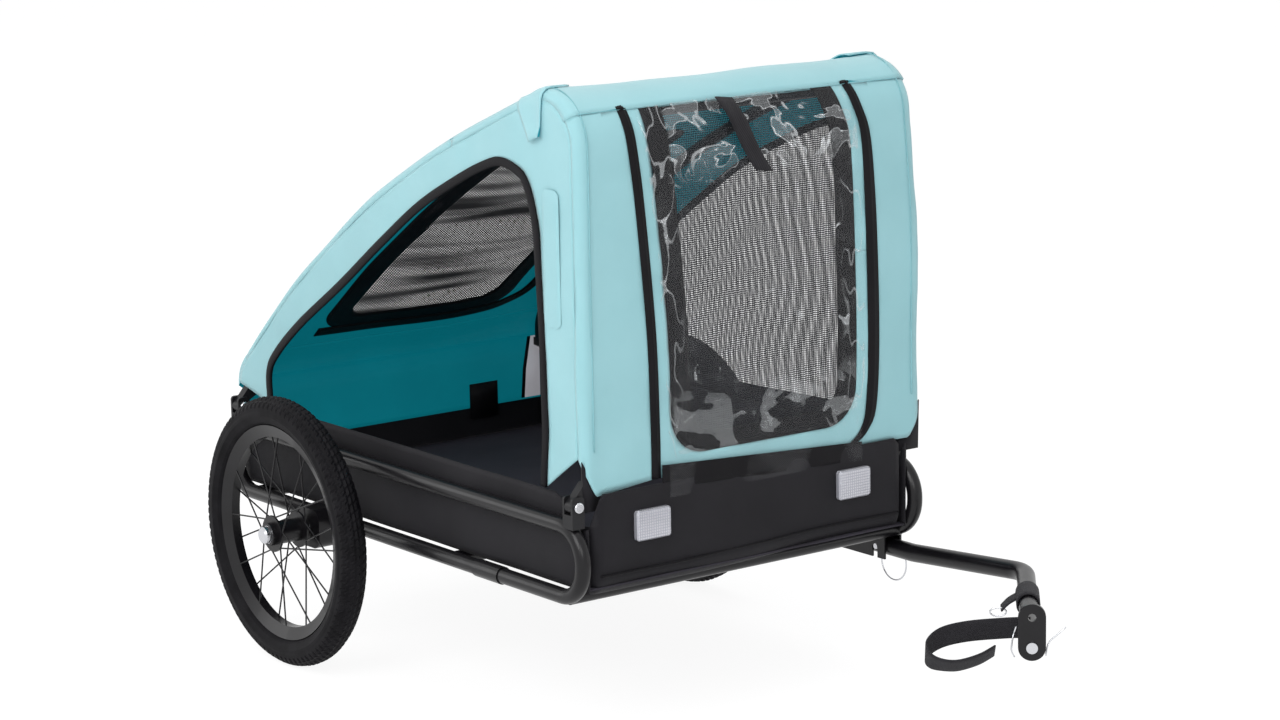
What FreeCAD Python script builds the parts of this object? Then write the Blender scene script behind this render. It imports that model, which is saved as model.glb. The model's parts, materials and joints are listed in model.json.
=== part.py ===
"""Dog bike trailer: folding steel chassis, two spoked wheels, fabric cabin and side tow bar.

Millimetres, +X forward, +Y to the left, +Z up.  Pieces are drawn from the axle line on the ground and
placed by one shift, so that the origin is the middle of the trailer's footprint on the ground.
"""
import FreeCAD, Part
import math
import os

from FreeCAD import Placement, Rotation, Vector

doc = FreeCAD.newDocument("dog_bike_trailer")
sheet = doc.addObject("Spreadsheet::Sheet", "sizes")

SIZES = {
    # Wheels: a 16-inch tyre on a spoked rim, running on a fixed stub axle.
    "wheel_radius": 200.0,
    "tyre_section": 46.0,
    "wheel_offset": 365.0,
    "rim_width": 28.0,
    "rim_depth": 18.0,
    "rim_seat": 5.0,
    "hub_flange_radius": 27.0,
    "hub_flange_thickness": 3.0,
    "hub_flange_spread": 40.0,
    "hub_body_radius": 17.0,
    "hub_length": 62.0,
    "spoke_hole_radius": 23.0,
    "spoke_diameter": 2.4,
    "axle_diameter": 12.0,
    "bearing_diameter": 26.0,
    "bearing_width": 9.0,
    "axle_nut_diameter": 25.0,
    "axle_nut_length": 9.0,
    # Chassis: two closed tube loops tied together by cross tubes.
    "rail_offset": 293.0,
    "rail_diameter": 22.0,
    "rail_low": 211.0,
    "rail_high": 310.0,
    "rail_rear": -255.0,
    "rail_front": 643.0,
    "rail_bend": 48.0,
    "cross_tube_diameter": 20.0,
    "front_cross_position": 609.0,
    "middle_cross_position": 330.0,
    "rear_cross_position": -200.0,
    "sleeve_position": 395.0,
    "sleeve_length": 60.0,
    "sleeve_wall": 1.6,
    "axle_bracket_length": 64.0,
    "axle_bracket_height": 58.0,
    "axle_bracket_depth": 34.0,
    # Cabin outline, seen from the side.
    "cabin_half_width": 283.0,
    "cabin_rear": -268.0,
    "cabin_front": 636.0,
    "cabin_hem": 350.0,
    "rear_shoulder_rise": 44.0,
    "rear_shoulder_radius": 60.0,
    "roof_knee_position": 47.0,
    "roof_knee_rise": 300.0,
    "roof_front_height": 927.0,
    "roof_front_radius": 75.0,
    "cloth_thickness": 2.0,
    "cloth_gap": 0.4,
    "mesh_thickness": 1.2,
    "hem_notch_length": 52.0,
    "hem_notch_height": 48.0,
    # Side doorways.
    "door_rear": -168.0,
    "door_rear_height": 402.0,
    "door_knee_position": 125.0,
    "door_knee_height": 622.0,
    "door_top_position": 459.0,
    "door_top_height": 791.0,
    "door_front_height": 690.0,
    "door_front": 548.0,
    # Front and rear windows.
    "front_window_right": 172.0,
    "front_window_left": 206.0,
    "front_window_low": 372.0,
    "front_window_high": 838.0,
    "front_window_radius": 60.0,
    "rain_flap_margin": 16.0,
    "rain_flap_thickness": 0.8,
    "rain_flap_low": 332.0,
    "rear_window_low": -205.0,
    "rear_window_high": 290.0,
    "rear_window_half_width": 165.0,
    "rear_window_radius": 45.0,
    "roll_strap_width": 30.0,
    "roll_strap_length": 82.0,
    "corner_flap_length": 58.0,
    "corner_flap_drop": 34.0,
    # Tub of black cloth between the rails.
    "tub_half_width": 280.5,
    "tub_cloth": 3.0,
    "tub_side_height": 348.0,
    "tub_front_low": 224.0,
    "tub_front_sag": 12.0,
    "tub_front_face": 641.0,
    "tub_rear_face": -250.0,
    "tub_rear_height": 348.0,
    "tub_corner_length": 48.0,
    "tub_corner_height": 296.0,
    "floor_thickness": 4.0,
    "reflector_width": 58.0,
    "reflector_height": 42.0,
    "reflector_depth": 9.0,
    "reflector_radius": 5.0,
    "reflector_offset": 177.0,
    "reflector_position": 302.0,
    # Folding side arches and their hinges.
    "arch_offset": 268.0,
    "arch_diameter": 19.0,
    "arch_stagger": 22.0,
    "arch_foot_height": 372.0,
    "hinge_height": 340.0,
    "hinge_pin_diameter": 8.0,
    "hinge_boss_radius": 10.0,
    "hinge_rear_position": -238.0,
    "foot_thickness": 14.0,
    "bracket_wall": 4.0,
    "bracket_width": 20.0,
    "bracket_top": 354.0,
    "bolt_head_diameter": 15.0,
    "bolt_head_length": 4.0,
    # Top bar, hinged on the left arch and resting under a hook on the right one.
    "bar_position": 578.0,
    "bar_drop": 6.0,
    "bar_pivot": 244.0,
    "bar_reach": 488.0,
    "bar_rest_lap": 10.0,
    "bar_rest_thickness": 6.0,
    "bar_tail": 9.0,
    "bar_pin_diameter": 6.0,
    "bar_slot_depth": 14.0,
    "lug_thickness": 6.0,
    "lug_half_height": 8.0,
    # Tow bar, its channel under the left rail, and the hitch.
    "tow_diameter": 26.0,
    "tow_height": 180.0,
    "tow_channel_rear": 487.0,
    "tow_channel_front": 595.0,
    "tow_channel_wall": 3.0,
    "tow_channel_low": 164.0,
    "tow_pivot_position": 505.0,
    "tow_lock_position": 575.0,
    "lock_slot_relief": 2.4,
    "tow_tail": 7.0,
    "tow_rise_position": 640.0,
    "tow_bend_position": 874.0,
    "tow_bend_height": 198.0,
    "tow_bend_radius": 60.0,
    "tow_end_position": 1120.0,
    "tow_end_offset": 75.0,
    "tow_end_height": 190.0,
    "tow_pin_diameter": 8.0,
    "ring_diameter": 54.0,
    "ring_wire": 2.4,
    "coupler_wall": 3.5,
    "coupler_length": 44.0,
    "coupler_nose": 14.0,
    "hitch_plate_width": 36.0,
    "hitch_plate_thickness": 6.0,
    "hitch_plate_reach": 40.0,
    "hitch_axle_hole": 10.4,
    "hitch_bolt_diameter": 10.0,
    "strap_width": 28.0,
    "strap_thickness": 2.2,
    "strap_length": 118.0,
    "strap_drop": 40.0,
    "strap_setback": 46.0,
    # Clearances shared by everything that fits together.
    "running_clearance": 0.05,
    "seat_clearance": 0.3,
    "cut_overrun": 6.0,
}
SPOKES_PER_SIDE = 12
SPOKE_CROSS_SHARE = 0.16
BAR_HINGE_TURN = 80.0
RIGHT, LEFT = -1, 1
SIDES = {"right": RIGHT, "left": LEFT}

for row, (alias, value) in enumerate(SIZES.items(), start=1):
    sheet.set(f"A{row}", alias)
    sheet.set(f"B{row}", str(value))
    sheet.setAlias(f"B{row}", alias)
doc.recompute()


def size(alias):
    return float(sheet.get(alias))


AXLE_HEIGHT = size("wheel_radius")
RAIL_RADIUS = size("rail_diameter") / 2
ARCH_RADIUS = size("arch_diameter") / 2
TOW_RADIUS = size("tow_diameter") / 2
OVER = size("cut_overrun")
SEAT = size("seat_clearance")
RUN = size("running_clearance")
CLOTH = size("cloth_thickness")
WALL_Y = size("cabin_half_width") - CLOTH
SHOULDER_HEIGHT = size("cabin_hem") + size("rear_shoulder_rise")
KNEE_HEIGHT = SHOULDER_HEIGHT + size("roof_knee_rise")

tow_end = Vector(size("tow_end_position"), size("tow_end_offset"), size("tow_end_height"))
tow_bend = Vector(size("tow_bend_position"), size("rail_offset"), size("tow_bend_height"))
tow_axis = (tow_end - tow_bend).normalize()
tow_side = Vector(0, 0, 1).cross(tow_axis).normalize()
tow_up = tow_axis.cross(tow_side)
hitch_centre = tow_end + tow_axis * (size("coupler_nose") + SEAT)

front_reach = hitch_centre.x + tow_axis.x * (size("hitch_plate_thickness") + SEAT + size("bolt_head_length"))
front_reach += abs(tow_side.x) * size("bolt_head_diameter") / 2
plate_reach = hitch_centre.x + tow_axis.x * size("hitch_plate_thickness")
plate_reach += abs(tow_side.x) * size("hitch_plate_width") / 2
rear_reach = size("cabin_rear")
SHIFT = Vector(-(max(front_reach, plate_reach) + rear_reach) / 2, 0, 0)

nodes = []


def node(obj, label, move=SHIFT):
    """Register a document object as one sub-part and put it at its place."""
    obj.Label = label
    obj.Placement = Placement(move, Rotation()) * obj.Placement
    nodes.append(obj)
    return obj


def shaped(label, shape):
    """A sub-part whose form is swept, lofted or cut cloth."""
    feature = doc.addObject("Part::Feature", label)
    feature.Shape = shape
    return node(feature, label)


def group(label, shapes):
    """Identical pieces that share one node as separate solids."""
    return shaped(label, Part.Compound(shapes))


def box(low, high):
    span = high - low
    return Part.makeBox(span.x, span.y, span.z, low)


def rod(start, end, radius):
    return Part.makeCylinder(radius, (end - start).Length, start, end - start)


def rounded_wire(corners, closed=False):
    """Straight runs joined by tangent arcs; each corner is a point and its bend radius."""
    count = len(corners)
    bends = []
    for index, (point, radius) in enumerate(corners):
        if radius == 0 or (not closed and index in (0, count - 1)):
            bends.append((point, None, point))
            continue
        back = (corners[index - 1][0] - point).normalize()
        ahead = (corners[(index + 1) % count][0] - point).normalize()
        half = back.getAngle(ahead) / 2
        reach = radius / math.tan(half)
        inward = (back + ahead).normalize()
        middle = point + inward * (radius / math.sin(half) - radius)
        bends.append((point + back * reach, middle, point + ahead * reach))
    edges = []
    for index, (start, middle, end) in enumerate(bends):
        if middle is not None:
            edges.append(Part.Arc(start, middle, end).toShape())
        if closed or index < count - 1:
            following = bends[(index + 1) % count][0]
            edges.append(Part.makeLine(end, following))
    return Part.Wire(edges)


def bent_tube(wire, radius):
    first = wire.OrderedEdges[0]
    start = first.valueAt(first.FirstParameter)
    heading = first.tangentAt(first.FirstParameter)
    ring = Part.Wire(Part.Circle(start, heading, radius).toShape())
    return wire.makePipeShell([ring], True, False)


def prism_y(wire, low, high):
    """Extrude a wire that lies in the side view between two widths."""
    face = Part.Face(wire)
    face.translate(Vector(0, low - wire.BoundBox.YMin, 0))
    return face.extrude(Vector(0, high - low, 0))


def origin_plane(body, role):
    return next(plane for plane in body.Origin.OriginFeatures if plane.Role == role)


def body_sketch(body, label, role, wire_edges):
    sketch = body.newObject("Sketcher::SketchObject", label)
    sketch.AttachmentSupport = [(origin_plane(body, role), "")]
    sketch.MapMode = "FlatFace"
    for edge in wire_edges:
        sketch.addGeometry(edge, False)
    return sketch


def polygon_edges(points):
    flat = [Vector(x, y, 0) for x, y in points]
    return [Part.LineSegment(flat[i], flat[(i + 1) % len(flat)]) for i in range(len(flat))]


def turned_body(label, outline):
    """A turned piece: an outline of radius against width, revolved about the wheel's axis."""
    body = doc.addObject("PartDesign::Body", label)
    sketch = body_sketch(body, label + "_profile", "XY_Plane", polygon_edges(outline))
    turn = body.newObject("PartDesign::Revolution", label + "_turn")
    turn.Profile = sketch
    turn.ReferenceAxis = (sketch, ["V_Axis"])
    turn.Angle = 360.0
    doc.recompute()
    return body


def chassis_loop(side):
    y = side * size("rail_offset")
    bend = size("rail_bend")
    low, high = size("rail_low"), size("rail_high")
    rear, front = size("rail_rear"), size("rail_front")
    corners = [(Vector(rear, y, low), bend), (Vector(front, y, low), bend),
               (Vector(front, y, high), bend), (Vector(rear, y, high), bend)]
    return bent_tube(rounded_wire(corners, closed=True), RAIL_RADIUS)


loops = {}
for name, side in SIDES.items():
    loops[name] = chassis_loop(side)
    shaped(f"chassis_loop_{name}", loops[name])
both_loops = loops["right"].fuse(loops["left"])


def cross_tube(position, height):
    reach = size("rail_offset")
    tube = rod(Vector(position, -reach, height), Vector(position, reach, height),
               size("cross_tube_diameter") / 2)
    return max(tube.cut(both_loops).Solids, key=lambda solid: solid.Volume)


cross_positions = {"front_cross_tube": size("front_cross_position"),
                   "middle_cross_tube": size("middle_cross_position"),
                   "axle_cross_tube": 0.0,
                   "rear_cross_tube": size("rear_cross_position")}
for name, position in cross_positions.items():
    shaped(name, cross_tube(position, size("rail_low")))


def rail_sleeve(side):
    start = Vector(size("sleeve_position"), side * size("rail_offset"), size("rail_low"))
    end = start + Vector(size("sleeve_length"), 0, 0)
    return rod(start, end, RAIL_RADIUS + size("sleeve_wall")).cut(rod(start, end, RAIL_RADIUS))


group("rail_sleeves", [rail_sleeve(side) for side in SIDES.values()])


def axle_bracket(side):
    inner = size("rail_offset")
    outer = inner + size("axle_bracket_depth")
    half = size("axle_bracket_length") / 2
    low = AXLE_HEIGHT - size("axle_bracket_height") / 2
    top = AXLE_HEIGHT + size("axle_bracket_height") / 2
    near, far = sorted((side * inner, side * outer))
    corner = half / 2
    corners = [(Vector(-half, near, low), corner), (Vector(half, near, low), corner),
               (Vector(half, near, top), corner), (Vector(-half, near, top), corner)]
    block = prism_y(rounded_wire(corners, closed=True), near, far)
    bore_start = Vector(0, side * (inner + RAIL_RADIUS + RUN), AXLE_HEIGHT)
    bore_end = Vector(0, side * (outer + OVER), AXLE_HEIGHT)
    block = block.cut(both_loops).cut(rod(bore_start, bore_end, size("axle_diameter") / 2))
    return max(block.Solids, key=lambda solid: solid.Volume)


HUB_HALF = size("hub_length") / 2


def axle(side):
    start = Vector(0, side * (size("rail_offset") + RAIL_RADIUS + RUN), AXLE_HEIGHT)
    end = Vector(0, side * (size("wheel_offset") + HUB_HALF + SEAT + size("axle_nut_length")), AXLE_HEIGHT)
    return rod(start, end, size("axle_diameter") / 2)


def axle_nut(side):
    start = Vector(0, side * (size("wheel_offset") + HUB_HALF + SEAT), AXLE_HEIGHT)
    end = start + Vector(0, side * size("axle_nut_length"), 0)
    nut = rod(start, end, size("axle_nut_diameter") / 2)
    rim_edges = [edge for edge in nut.Edges if abs(edge.CenterOfMass.y - end.y) < SEAT]
    nut = nut.makeChamfer(size("axle_nut_length") / 4, rim_edges)
    return nut.cut(rod(start, end, size("axle_diameter") / 2))


for name, side in SIDES.items():
    shaped(f"axle_bracket_{name}", axle_bracket(side))
    shaped(f"axle_{name}", axle(side))
group("axle_nuts", [axle_nut(side) for side in SIDES.values()])

TYRE_CENTRE = size("wheel_radius") - size("tyre_section") / 2
RIM_OUTER = TYRE_CENTRE - size("tyre_section") / 2 + size("rim_seat")
RIM_INNER = RIM_OUTER - size("rim_depth")


def rim_outline():
    """A box rim: sloping inner walls and a shallow well that the tyre sits in."""
    half = size("rim_width") / 2
    wall = size("rim_seat") / 2
    return [(RIM_INNER, -half / 2), (RIM_OUTER, -half), (RIM_OUTER, wall - half),
            (RIM_OUTER - size("rim_seat"), wall - half), (RIM_OUTER - size("rim_seat"), half - wall),
            (RIM_OUTER, half - wall), (RIM_OUTER, half), (RIM_INNER, half / 2)]


def hub_outline():
    """A flanged hub shell with a seat for a bearing at each end."""
    bore = size("bearing_diameter") / 2
    waist = size("axle_diameter") / 2 + size("hub_flange_thickness")
    seat = HUB_HALF - size("bearing_width")
    spread = size("hub_flange_spread") / 2
    edge = spread + size("hub_flange_thickness")
    flange, body = size("hub_flange_radius"), size("hub_body_radius")
    half = [(bore, HUB_HALF), (body, HUB_HALF), (body, edge), (flange, edge), (flange, spread), (body, spread)]
    mirror = [(radius, -width) for radius, width in reversed(half)]
    return half + mirror + [(bore, -seat), (waist, -seat), (waist, seat), (bore, seat)]


def wheel_point(radius, angle, width):
    return Vector(radius * math.cos(angle), width, radius * math.sin(angle))


def spokes():
    """Crossed spokes from both flanges to the rim, trimmed where they seat."""
    flange = (size("hub_flange_spread") + size("hub_flange_thickness")) / 2
    pitch = 2 * math.pi / SPOKES_PER_SIDE
    wires = []
    for end in (-1, 1):
        for index in range(SPOKES_PER_SIDE):
            lean = (1 if index % 2 else -1) * SPOKE_CROSS_SHARE * 2 * math.pi
            angle = index * pitch + (pitch / 2 if end > 0 else 0)
            start = wheel_point(size("spoke_hole_radius"), angle + lean, end * flange)
            finish = wheel_point(RIM_INNER + size("rim_depth") / 2, angle, end * size("rim_seat"))
            wires.append(rod(start, finish, size("spoke_diameter") / 2))
    return wires


def bearing(end):
    outer, inner = size("bearing_diameter") / 2, size("axle_diameter") / 2 + RUN
    start = Vector(0, end * (HUB_HALF - size("bearing_width")), 0)
    finish = Vector(0, end * HUB_HALF, 0)
    return rod(start, finish, outer).cut(rod(start, finish, inner))


for name, side in SIDES.items():
    place = SHIFT + Vector(0, side * size("wheel_offset"), AXLE_HEIGHT)
    rim = turned_body(f"rim_{name}", rim_outline())
    hub = turned_body(f"hub_{name}", hub_outline())
    trimmed = [wire.cut(rim.Shape).cut(hub.Shape) for wire in spokes()]
    spoke_solids = [max(wire.Solids, key=lambda solid: solid.Volume) for wire in trimmed]
    tyre = Part.makeTorus(TYRE_CENTRE, size("tyre_section") / 2, Vector(), Vector(0, 1, 0)).cut(rim.Shape)
    node(rim, f"rim_{name}", place)
    node(hub, f"hub_{name}", place)
    for label, shape in ((f"tyre_{name}", max(tyre.Solids, key=lambda solid: solid.Volume)),
                         (f"spokes_{name}", Part.Compound(spoke_solids)),
                         (f"bearings_{name}", Part.Compound([bearing(-1), bearing(1)]))):
        feature = doc.addObject("Part::Feature", label)
        feature.Shape = shape
        node(feature, label, place)


KNEE_BEND_SHARE = 0.8486


def knee_radius(points):
    """Bend of the roof knee, which takes up a set share of the rear slope."""
    back, ahead = points[1] - points[2], points[3] - points[2]
    return KNEE_BEND_SHARE * back.Length * math.tan(back.getAngle(ahead) / 2)


def inset_corners(inset):
    """Cabin outline in the side view, moved inward, as corners with their bend radii."""
    outline = [(size("cabin_rear"), 0.0), (size("cabin_rear"), SHOULDER_HEIGHT),
               (size("roof_knee_position"), KNEE_HEIGHT),
               (size("cabin_front"), size("roof_front_height")), (size("cabin_front"), 0.0)]
    points = [Vector(x, 0, z) for x, z in outline]
    radii = [0.0, size("rear_shoulder_radius"), knee_radius(points), size("roof_front_radius"), 0.0]
    lines = []
    for start, end in zip(points, points[1:]):
        along = (end - start).normalize()
        lines.append((start + Vector(along.z, 0, -along.x) * inset, along))
    moved = [lines[0][0]]
    for (base, along), (other, ahead) in zip(lines, lines[1:]):
        across = along.x * ahead.z - along.z * ahead.x
        gap = other - base
        moved.append(base + along * ((gap.x * ahead.z - gap.z * ahead.x) / across))
    moved.append(Vector(lines[-1][0].x, 0, 0))
    return [(point, max(radius - inset, 0.0)) for point, radius in zip(moved, radii)]


def cabin_prism(inset, low, high):
    return prism_y(rounded_wire(inset_corners(inset), closed=True), low, high)


above_hem = box(Vector(size("cabin_rear") - OVER, -size("rail_offset"), size("cabin_hem")),
                Vector(size("cabin_front") + OVER, size("rail_offset"), size("roof_front_height")))
INNER_Y = WALL_Y - SEAT


def rectangle(axis, low_u, high_u, low_v, high_v, offset, radius):
    """A rounded rectangle square to X (u is Y, v is Z) or square to Z (u is X, v is Y)."""
    spots = [(low_u, low_v), (high_u, low_v), (high_u, high_v), (low_u, high_v)]
    if axis == "x":
        return rounded_wire([(Vector(offset, u, v), radius) for u, v in spots], closed=True)
    return rounded_wire([(Vector(u, v, offset), radius) for u, v in spots], closed=True)


shell = cabin_prism(0, -INNER_Y, INNER_Y).cut(cabin_prism(CLOTH, -INNER_Y, INNER_Y)).common(above_hem)
mesh_shell = cabin_prism((CLOTH - size("mesh_thickness")) / 2, -INNER_Y, INNER_Y)
mesh_shell = mesh_shell.cut(cabin_prism((CLOTH + size("mesh_thickness")) / 2, -INNER_Y, INNER_Y))
FRONT_START = size("cabin_front") - size("roof_front_radius")
front_zone = box(Vector(FRONT_START, -size("rail_offset"), 0),
                 Vector(size("cabin_front") + OVER, size("rail_offset"), size("roof_front_height")))
front_gap = box(Vector(FRONT_START - SEAT, -size("rail_offset"), 0),
                Vector(size("cabin_front") + OVER, size("rail_offset"), size("roof_front_height")))


def front_window(margin):
    wire = rectangle("x", -size("front_window_right") + margin, size("front_window_left") - margin,
                     size("front_window_low") + margin, size("front_window_high") - margin,
                     size("cabin_front") - CLOTH - OVER, size("front_window_radius"))
    return Part.Face(wire).extrude(Vector(CLOTH + 2 * OVER, 0, 0))


def rear_window(margin):
    half = size("rear_window_half_width") - margin
    wire = rectangle("z", size("rear_window_low") + margin, size("rear_window_high") - margin, -half, half,
                     size("cabin_hem"), size("rear_window_radius"))
    return Part.Face(wire).extrude(Vector(0, 0, size("roof_front_height")))


shaped("front_cover", shell.common(front_zone).cut(front_window(0)).Solids[0])
shaped("front_mesh", mesh_shell.common(front_zone).common(front_window(SEAT)).Solids[0])
shaped("roof_cover", shell.cut(front_gap).cut(rear_window(0)).Solids[0])
shaped("rear_mesh", mesh_shell.cut(front_gap).common(rear_window(SEAT)).Solids[0])


def rain_flap():
    """Clear flap that hangs in front of the mesh and overlaps the tub at its foot."""
    margin = size("rain_flap_margin")
    low, high = size("rain_flap_low"), size("front_window_high") - margin
    face_x = size("tub_front_face") + SEAT
    wire = rectangle("x", -size("front_window_right") + margin, size("front_window_left") - margin,
                     low, high, face_x, size("front_window_radius"))
    return Part.Face(wire).extrude(Vector(size("rain_flap_thickness"), 0, 0))


shaped("rain_flap", rain_flap())


def roll_strap():
    """Webbing that holds the rolled flap, hanging from the middle of the top edge."""
    half = size("roll_strap_width") / 2
    face_x = size("tub_front_face") + SEAT + size("rain_flap_thickness") + SEAT
    top = size("front_window_high")
    low = Vector(face_x, -half, top - size("roll_strap_length"))
    return box(low, Vector(face_x + CLOTH, half, top))


shaped("roll_up_strap", roll_strap())


def doorway(margin):
    hem = size("cabin_hem") - OVER
    rear = Vector(size("door_rear") + margin, 0, size("door_rear_height"))
    knee = Vector(size("door_knee_position") + margin, 0, size("door_knee_height") - margin)
    top = Vector(size("door_top_position"), 0, size("door_top_height") - margin)
    front = Vector(size("door_front") - margin, 0, size("door_front_height"))
    lean = size("roof_front_radius") / 4
    crown = (top + front) * 0.5 + Vector(lean, 0, lean)
    foot_front, foot_rear = Vector(front.x, 0, hem), Vector(rear.x, 0, hem)
    return Part.Wire([Part.makeLine(foot_rear, rear), Part.Arc(rear, knee, top).toShape(),
                      Part.Arc(top, crown, front).toShape(), Part.makeLine(front, foot_front),
                      Part.makeLine(foot_front, foot_rear)])


def side_cover(side):
    low, high = sorted((side * WALL_Y, side * size("cabin_half_width")))
    wall = cabin_prism(0, low, high).common(above_hem)
    wall = wall.cut(prism_y(doorway(0), low - OVER, high + OVER))
    notch_top = size("cabin_hem") + size("hem_notch_height")
    for edge in (size("cabin_rear"), size("cabin_front") - size("hem_notch_length")):
        wall = wall.cut(box(Vector(edge - SEAT, low - OVER, 0),
                            Vector(edge + size("hem_notch_length") + SEAT, high + OVER, notch_top)))
    return wall.Solids[0]


def side_mesh(side):
    middle = side * (WALL_Y + CLOTH / 2)
    half = size("mesh_thickness") / 2
    return prism_y(doorway(SEAT), middle - half, middle + half).common(above_hem).Solids[0]


for name, side in SIDES.items():
    shaped(f"side_cover_{name}", side_cover(side))
shaped("side_mesh_left", side_mesh(LEFT))


def corner_flap(side):
    """Hook-and-loop tab that wraps the end of the top bar at an upper front corner."""
    front = size("cabin_front") - size("roof_front_radius")
    start = front - size("corner_flap_length")
    outer = size("cabin_half_width") + SEAT
    low, high = sorted((side * outer, side * (outer + CLOTH)))
    wall = cabin_prism(0, low, high)
    top = wall.common(box(Vector(start, low, 0), Vector(front, high, size("roof_front_height")))).BoundBox.ZMax
    zone = box(Vector(start, low, top - size("corner_flap_drop") - size("corner_flap_length") / 2),
               Vector(front, high, size("roof_front_height")))
    return wall.common(zone).Solids[0]


group("corner_flaps", [corner_flap(side) for side in SIDES.values()])


def tub_side(side):
    """Side panel inside the rails, cut away at both upper corners for the hinges."""
    outer = side * size("tub_half_width")
    inner = side * (size("tub_half_width") - size("tub_cloth"))
    low, high = sorted((inner, outer))
    rear, front = size("tub_rear_face"), size("tub_front_face") - size("tub_cloth") - SEAT
    corner = size("tub_corner_length")
    floor_top = size("rail_low") + size("cross_tube_diameter") / 2 + SEAT
    step, top = size("tub_corner_height"), size("tub_side_height")
    spots = [(rear, floor_top), (front, floor_top), (front, step), (front - corner, step),
             (front - corner, top), (rear + corner, top), (rear + corner, step), (rear, step)]
    return prism_y(Part.makePolygon([Vector(x, 0, z) for x, z in spots + spots[:1]]), low, high)


for name, side in SIDES.items():
    shaped(f"tub_side_{name}", tub_side(side))


def tub_front():
    """Front panel with a lower hem that sags between the rails."""
    half = size("tub_half_width")
    face_x = size("tub_front_face") - size("tub_cloth")
    low, top = size("tub_front_low"), size("cabin_hem") - SEAT
    right_foot, left_foot = Vector(face_x, -half, low), Vector(face_x, half, low)
    sag = Vector(face_x, 0, low - size("tub_front_sag"))
    wire = Part.Wire([Part.Arc(right_foot, sag, left_foot).toShape(),
                      Part.makeLine(left_foot, Vector(face_x, half, top)),
                      Part.makeLine(Vector(face_x, half, top), Vector(face_x, -half, top)),
                      Part.makeLine(Vector(face_x, -half, top), right_foot)])
    return Part.Face(wire).extrude(Vector(size("tub_cloth"), 0, 0))


FLOOR_LOW = size("rail_low") + size("cross_tube_diameter") / 2 + SEAT
TUB_INNER = size("tub_half_width") - size("tub_cloth") - SEAT
shaped("tub_front", tub_front())
shaped("tub_rear", box(Vector(size("tub_rear_face") - size("tub_cloth") - SEAT, -TUB_INNER, FLOOR_LOW),
                       Vector(size("tub_rear_face") - SEAT, TUB_INNER, size("tub_rear_height"))))
shaped("floor_panel", box(Vector(size("tub_rear_face"), -TUB_INNER, FLOOR_LOW),
                          Vector(size("tub_front_face") - size("tub_cloth") - SEAT, TUB_INNER,
                                 FLOOR_LOW + size("floor_thickness"))))


def reflector(side):
    """A moulded reflector with rounded corners and a bevelled lens edge."""
    half_width, half_height = size("reflector_width") / 2, size("reflector_height") / 2
    middle, height = side * size("reflector_offset"), size("reflector_position")
    wire = rectangle("x", middle - half_width, middle + half_width, height - half_height,
                     height + half_height, size("tub_front_face"), size("reflector_radius"))
    block = Part.Face(wire).extrude(Vector(size("reflector_depth"), 0, 0))
    front = max(block.Faces, key=lambda face: face.CenterOfMass.x)
    return block.makeChamfer(size("reflector_depth") / 4, front.Edges)


group("reflectors", [reflector(side) for side in SIDES.values()])

ARCH_INSET = CLOTH + size("cloth_gap") + ARCH_RADIUS


def arch_corners(side):
    """Bends of one side arch; the left one stands a tube's width behind the right one."""
    stagger = size("arch_stagger") if side == LEFT else 0.0
    y = side * size("arch_offset")
    foot = size("arch_foot_height")
    bends = inset_corners(ARCH_INSET)
    rear = size("hinge_rear_position")
    front = bends[-1][0].x - stagger
    slope = (bends[3][0].z - bends[2][0].z) / (bends[3][0].x - bends[2][0].x)
    crown = bends[3][0].z - slope * stagger
    rise = (bends[2][0].z - bends[1][0].z) / (bends[2][0].x - bends[1][0].x)
    shoulder = bends[1][0].z + rise * (rear - bends[1][0].x)
    return [(Vector(rear, y, foot), 0), (Vector(rear, y, shoulder), bends[1][1]),
            (Vector(bends[2][0].x, y, bends[2][0].z), bends[2][1]),
            (Vector(front, y, crown), bends[3][1]), (Vector(front, y, foot), 0)]


FOOT_INNER_SHARE = 0.62
FOOT_LOWER_SHARE = 0.15
FOOT_BOSS_SHARE = 0.65
FOOT_HALF = size("foot_thickness") / 2
PIN_RADIUS = size("hinge_pin_diameter") / 2


def front_hinge(side):
    return arch_corners(side)[-1][0].x


def hinge_positions(side):
    return (size("hinge_rear_position"), front_hinge(side))


def arch_foot(side, position):
    """Knuckle from the end of an arch tube down and out to the hinge pin."""
    pin = Vector(position - FOOT_HALF, side * size("rail_offset"), size("hinge_height"))
    boss = size("hinge_boss_radius")
    top = size("arch_foot_height")
    rise = top - size("hinge_height")
    inner = side * (size("arch_offset") - ARCH_RADIUS)
    outer = side * (size("arch_offset") + ARCH_RADIUS)
    x = pin.x
    shoulder = Vector(0, side * boss * FOOT_BOSS_SHARE, 0)
    spots = [pin + shoulder + Vector(0, 0, boss * FOOT_BOSS_SHARE), Vector(x, outer, top),
             Vector(x, inner, top), Vector(x, inner, pin.z + rise * FOOT_INNER_SHARE),
             pin - shoulder + Vector(0, 0, rise * FOOT_LOWER_SHARE)]
    web = Part.Face(Part.makePolygon(spots + spots[:1])).extrude(Vector(size("foot_thickness"), 0, 0))
    end = pin + Vector(size("foot_thickness"), 0, 0)
    knuckle = web.fuse(rod(pin, end, boss)).removeSplitter()
    return knuckle.cut(rod(pin, end, PIN_RADIUS + RUN))


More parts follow.
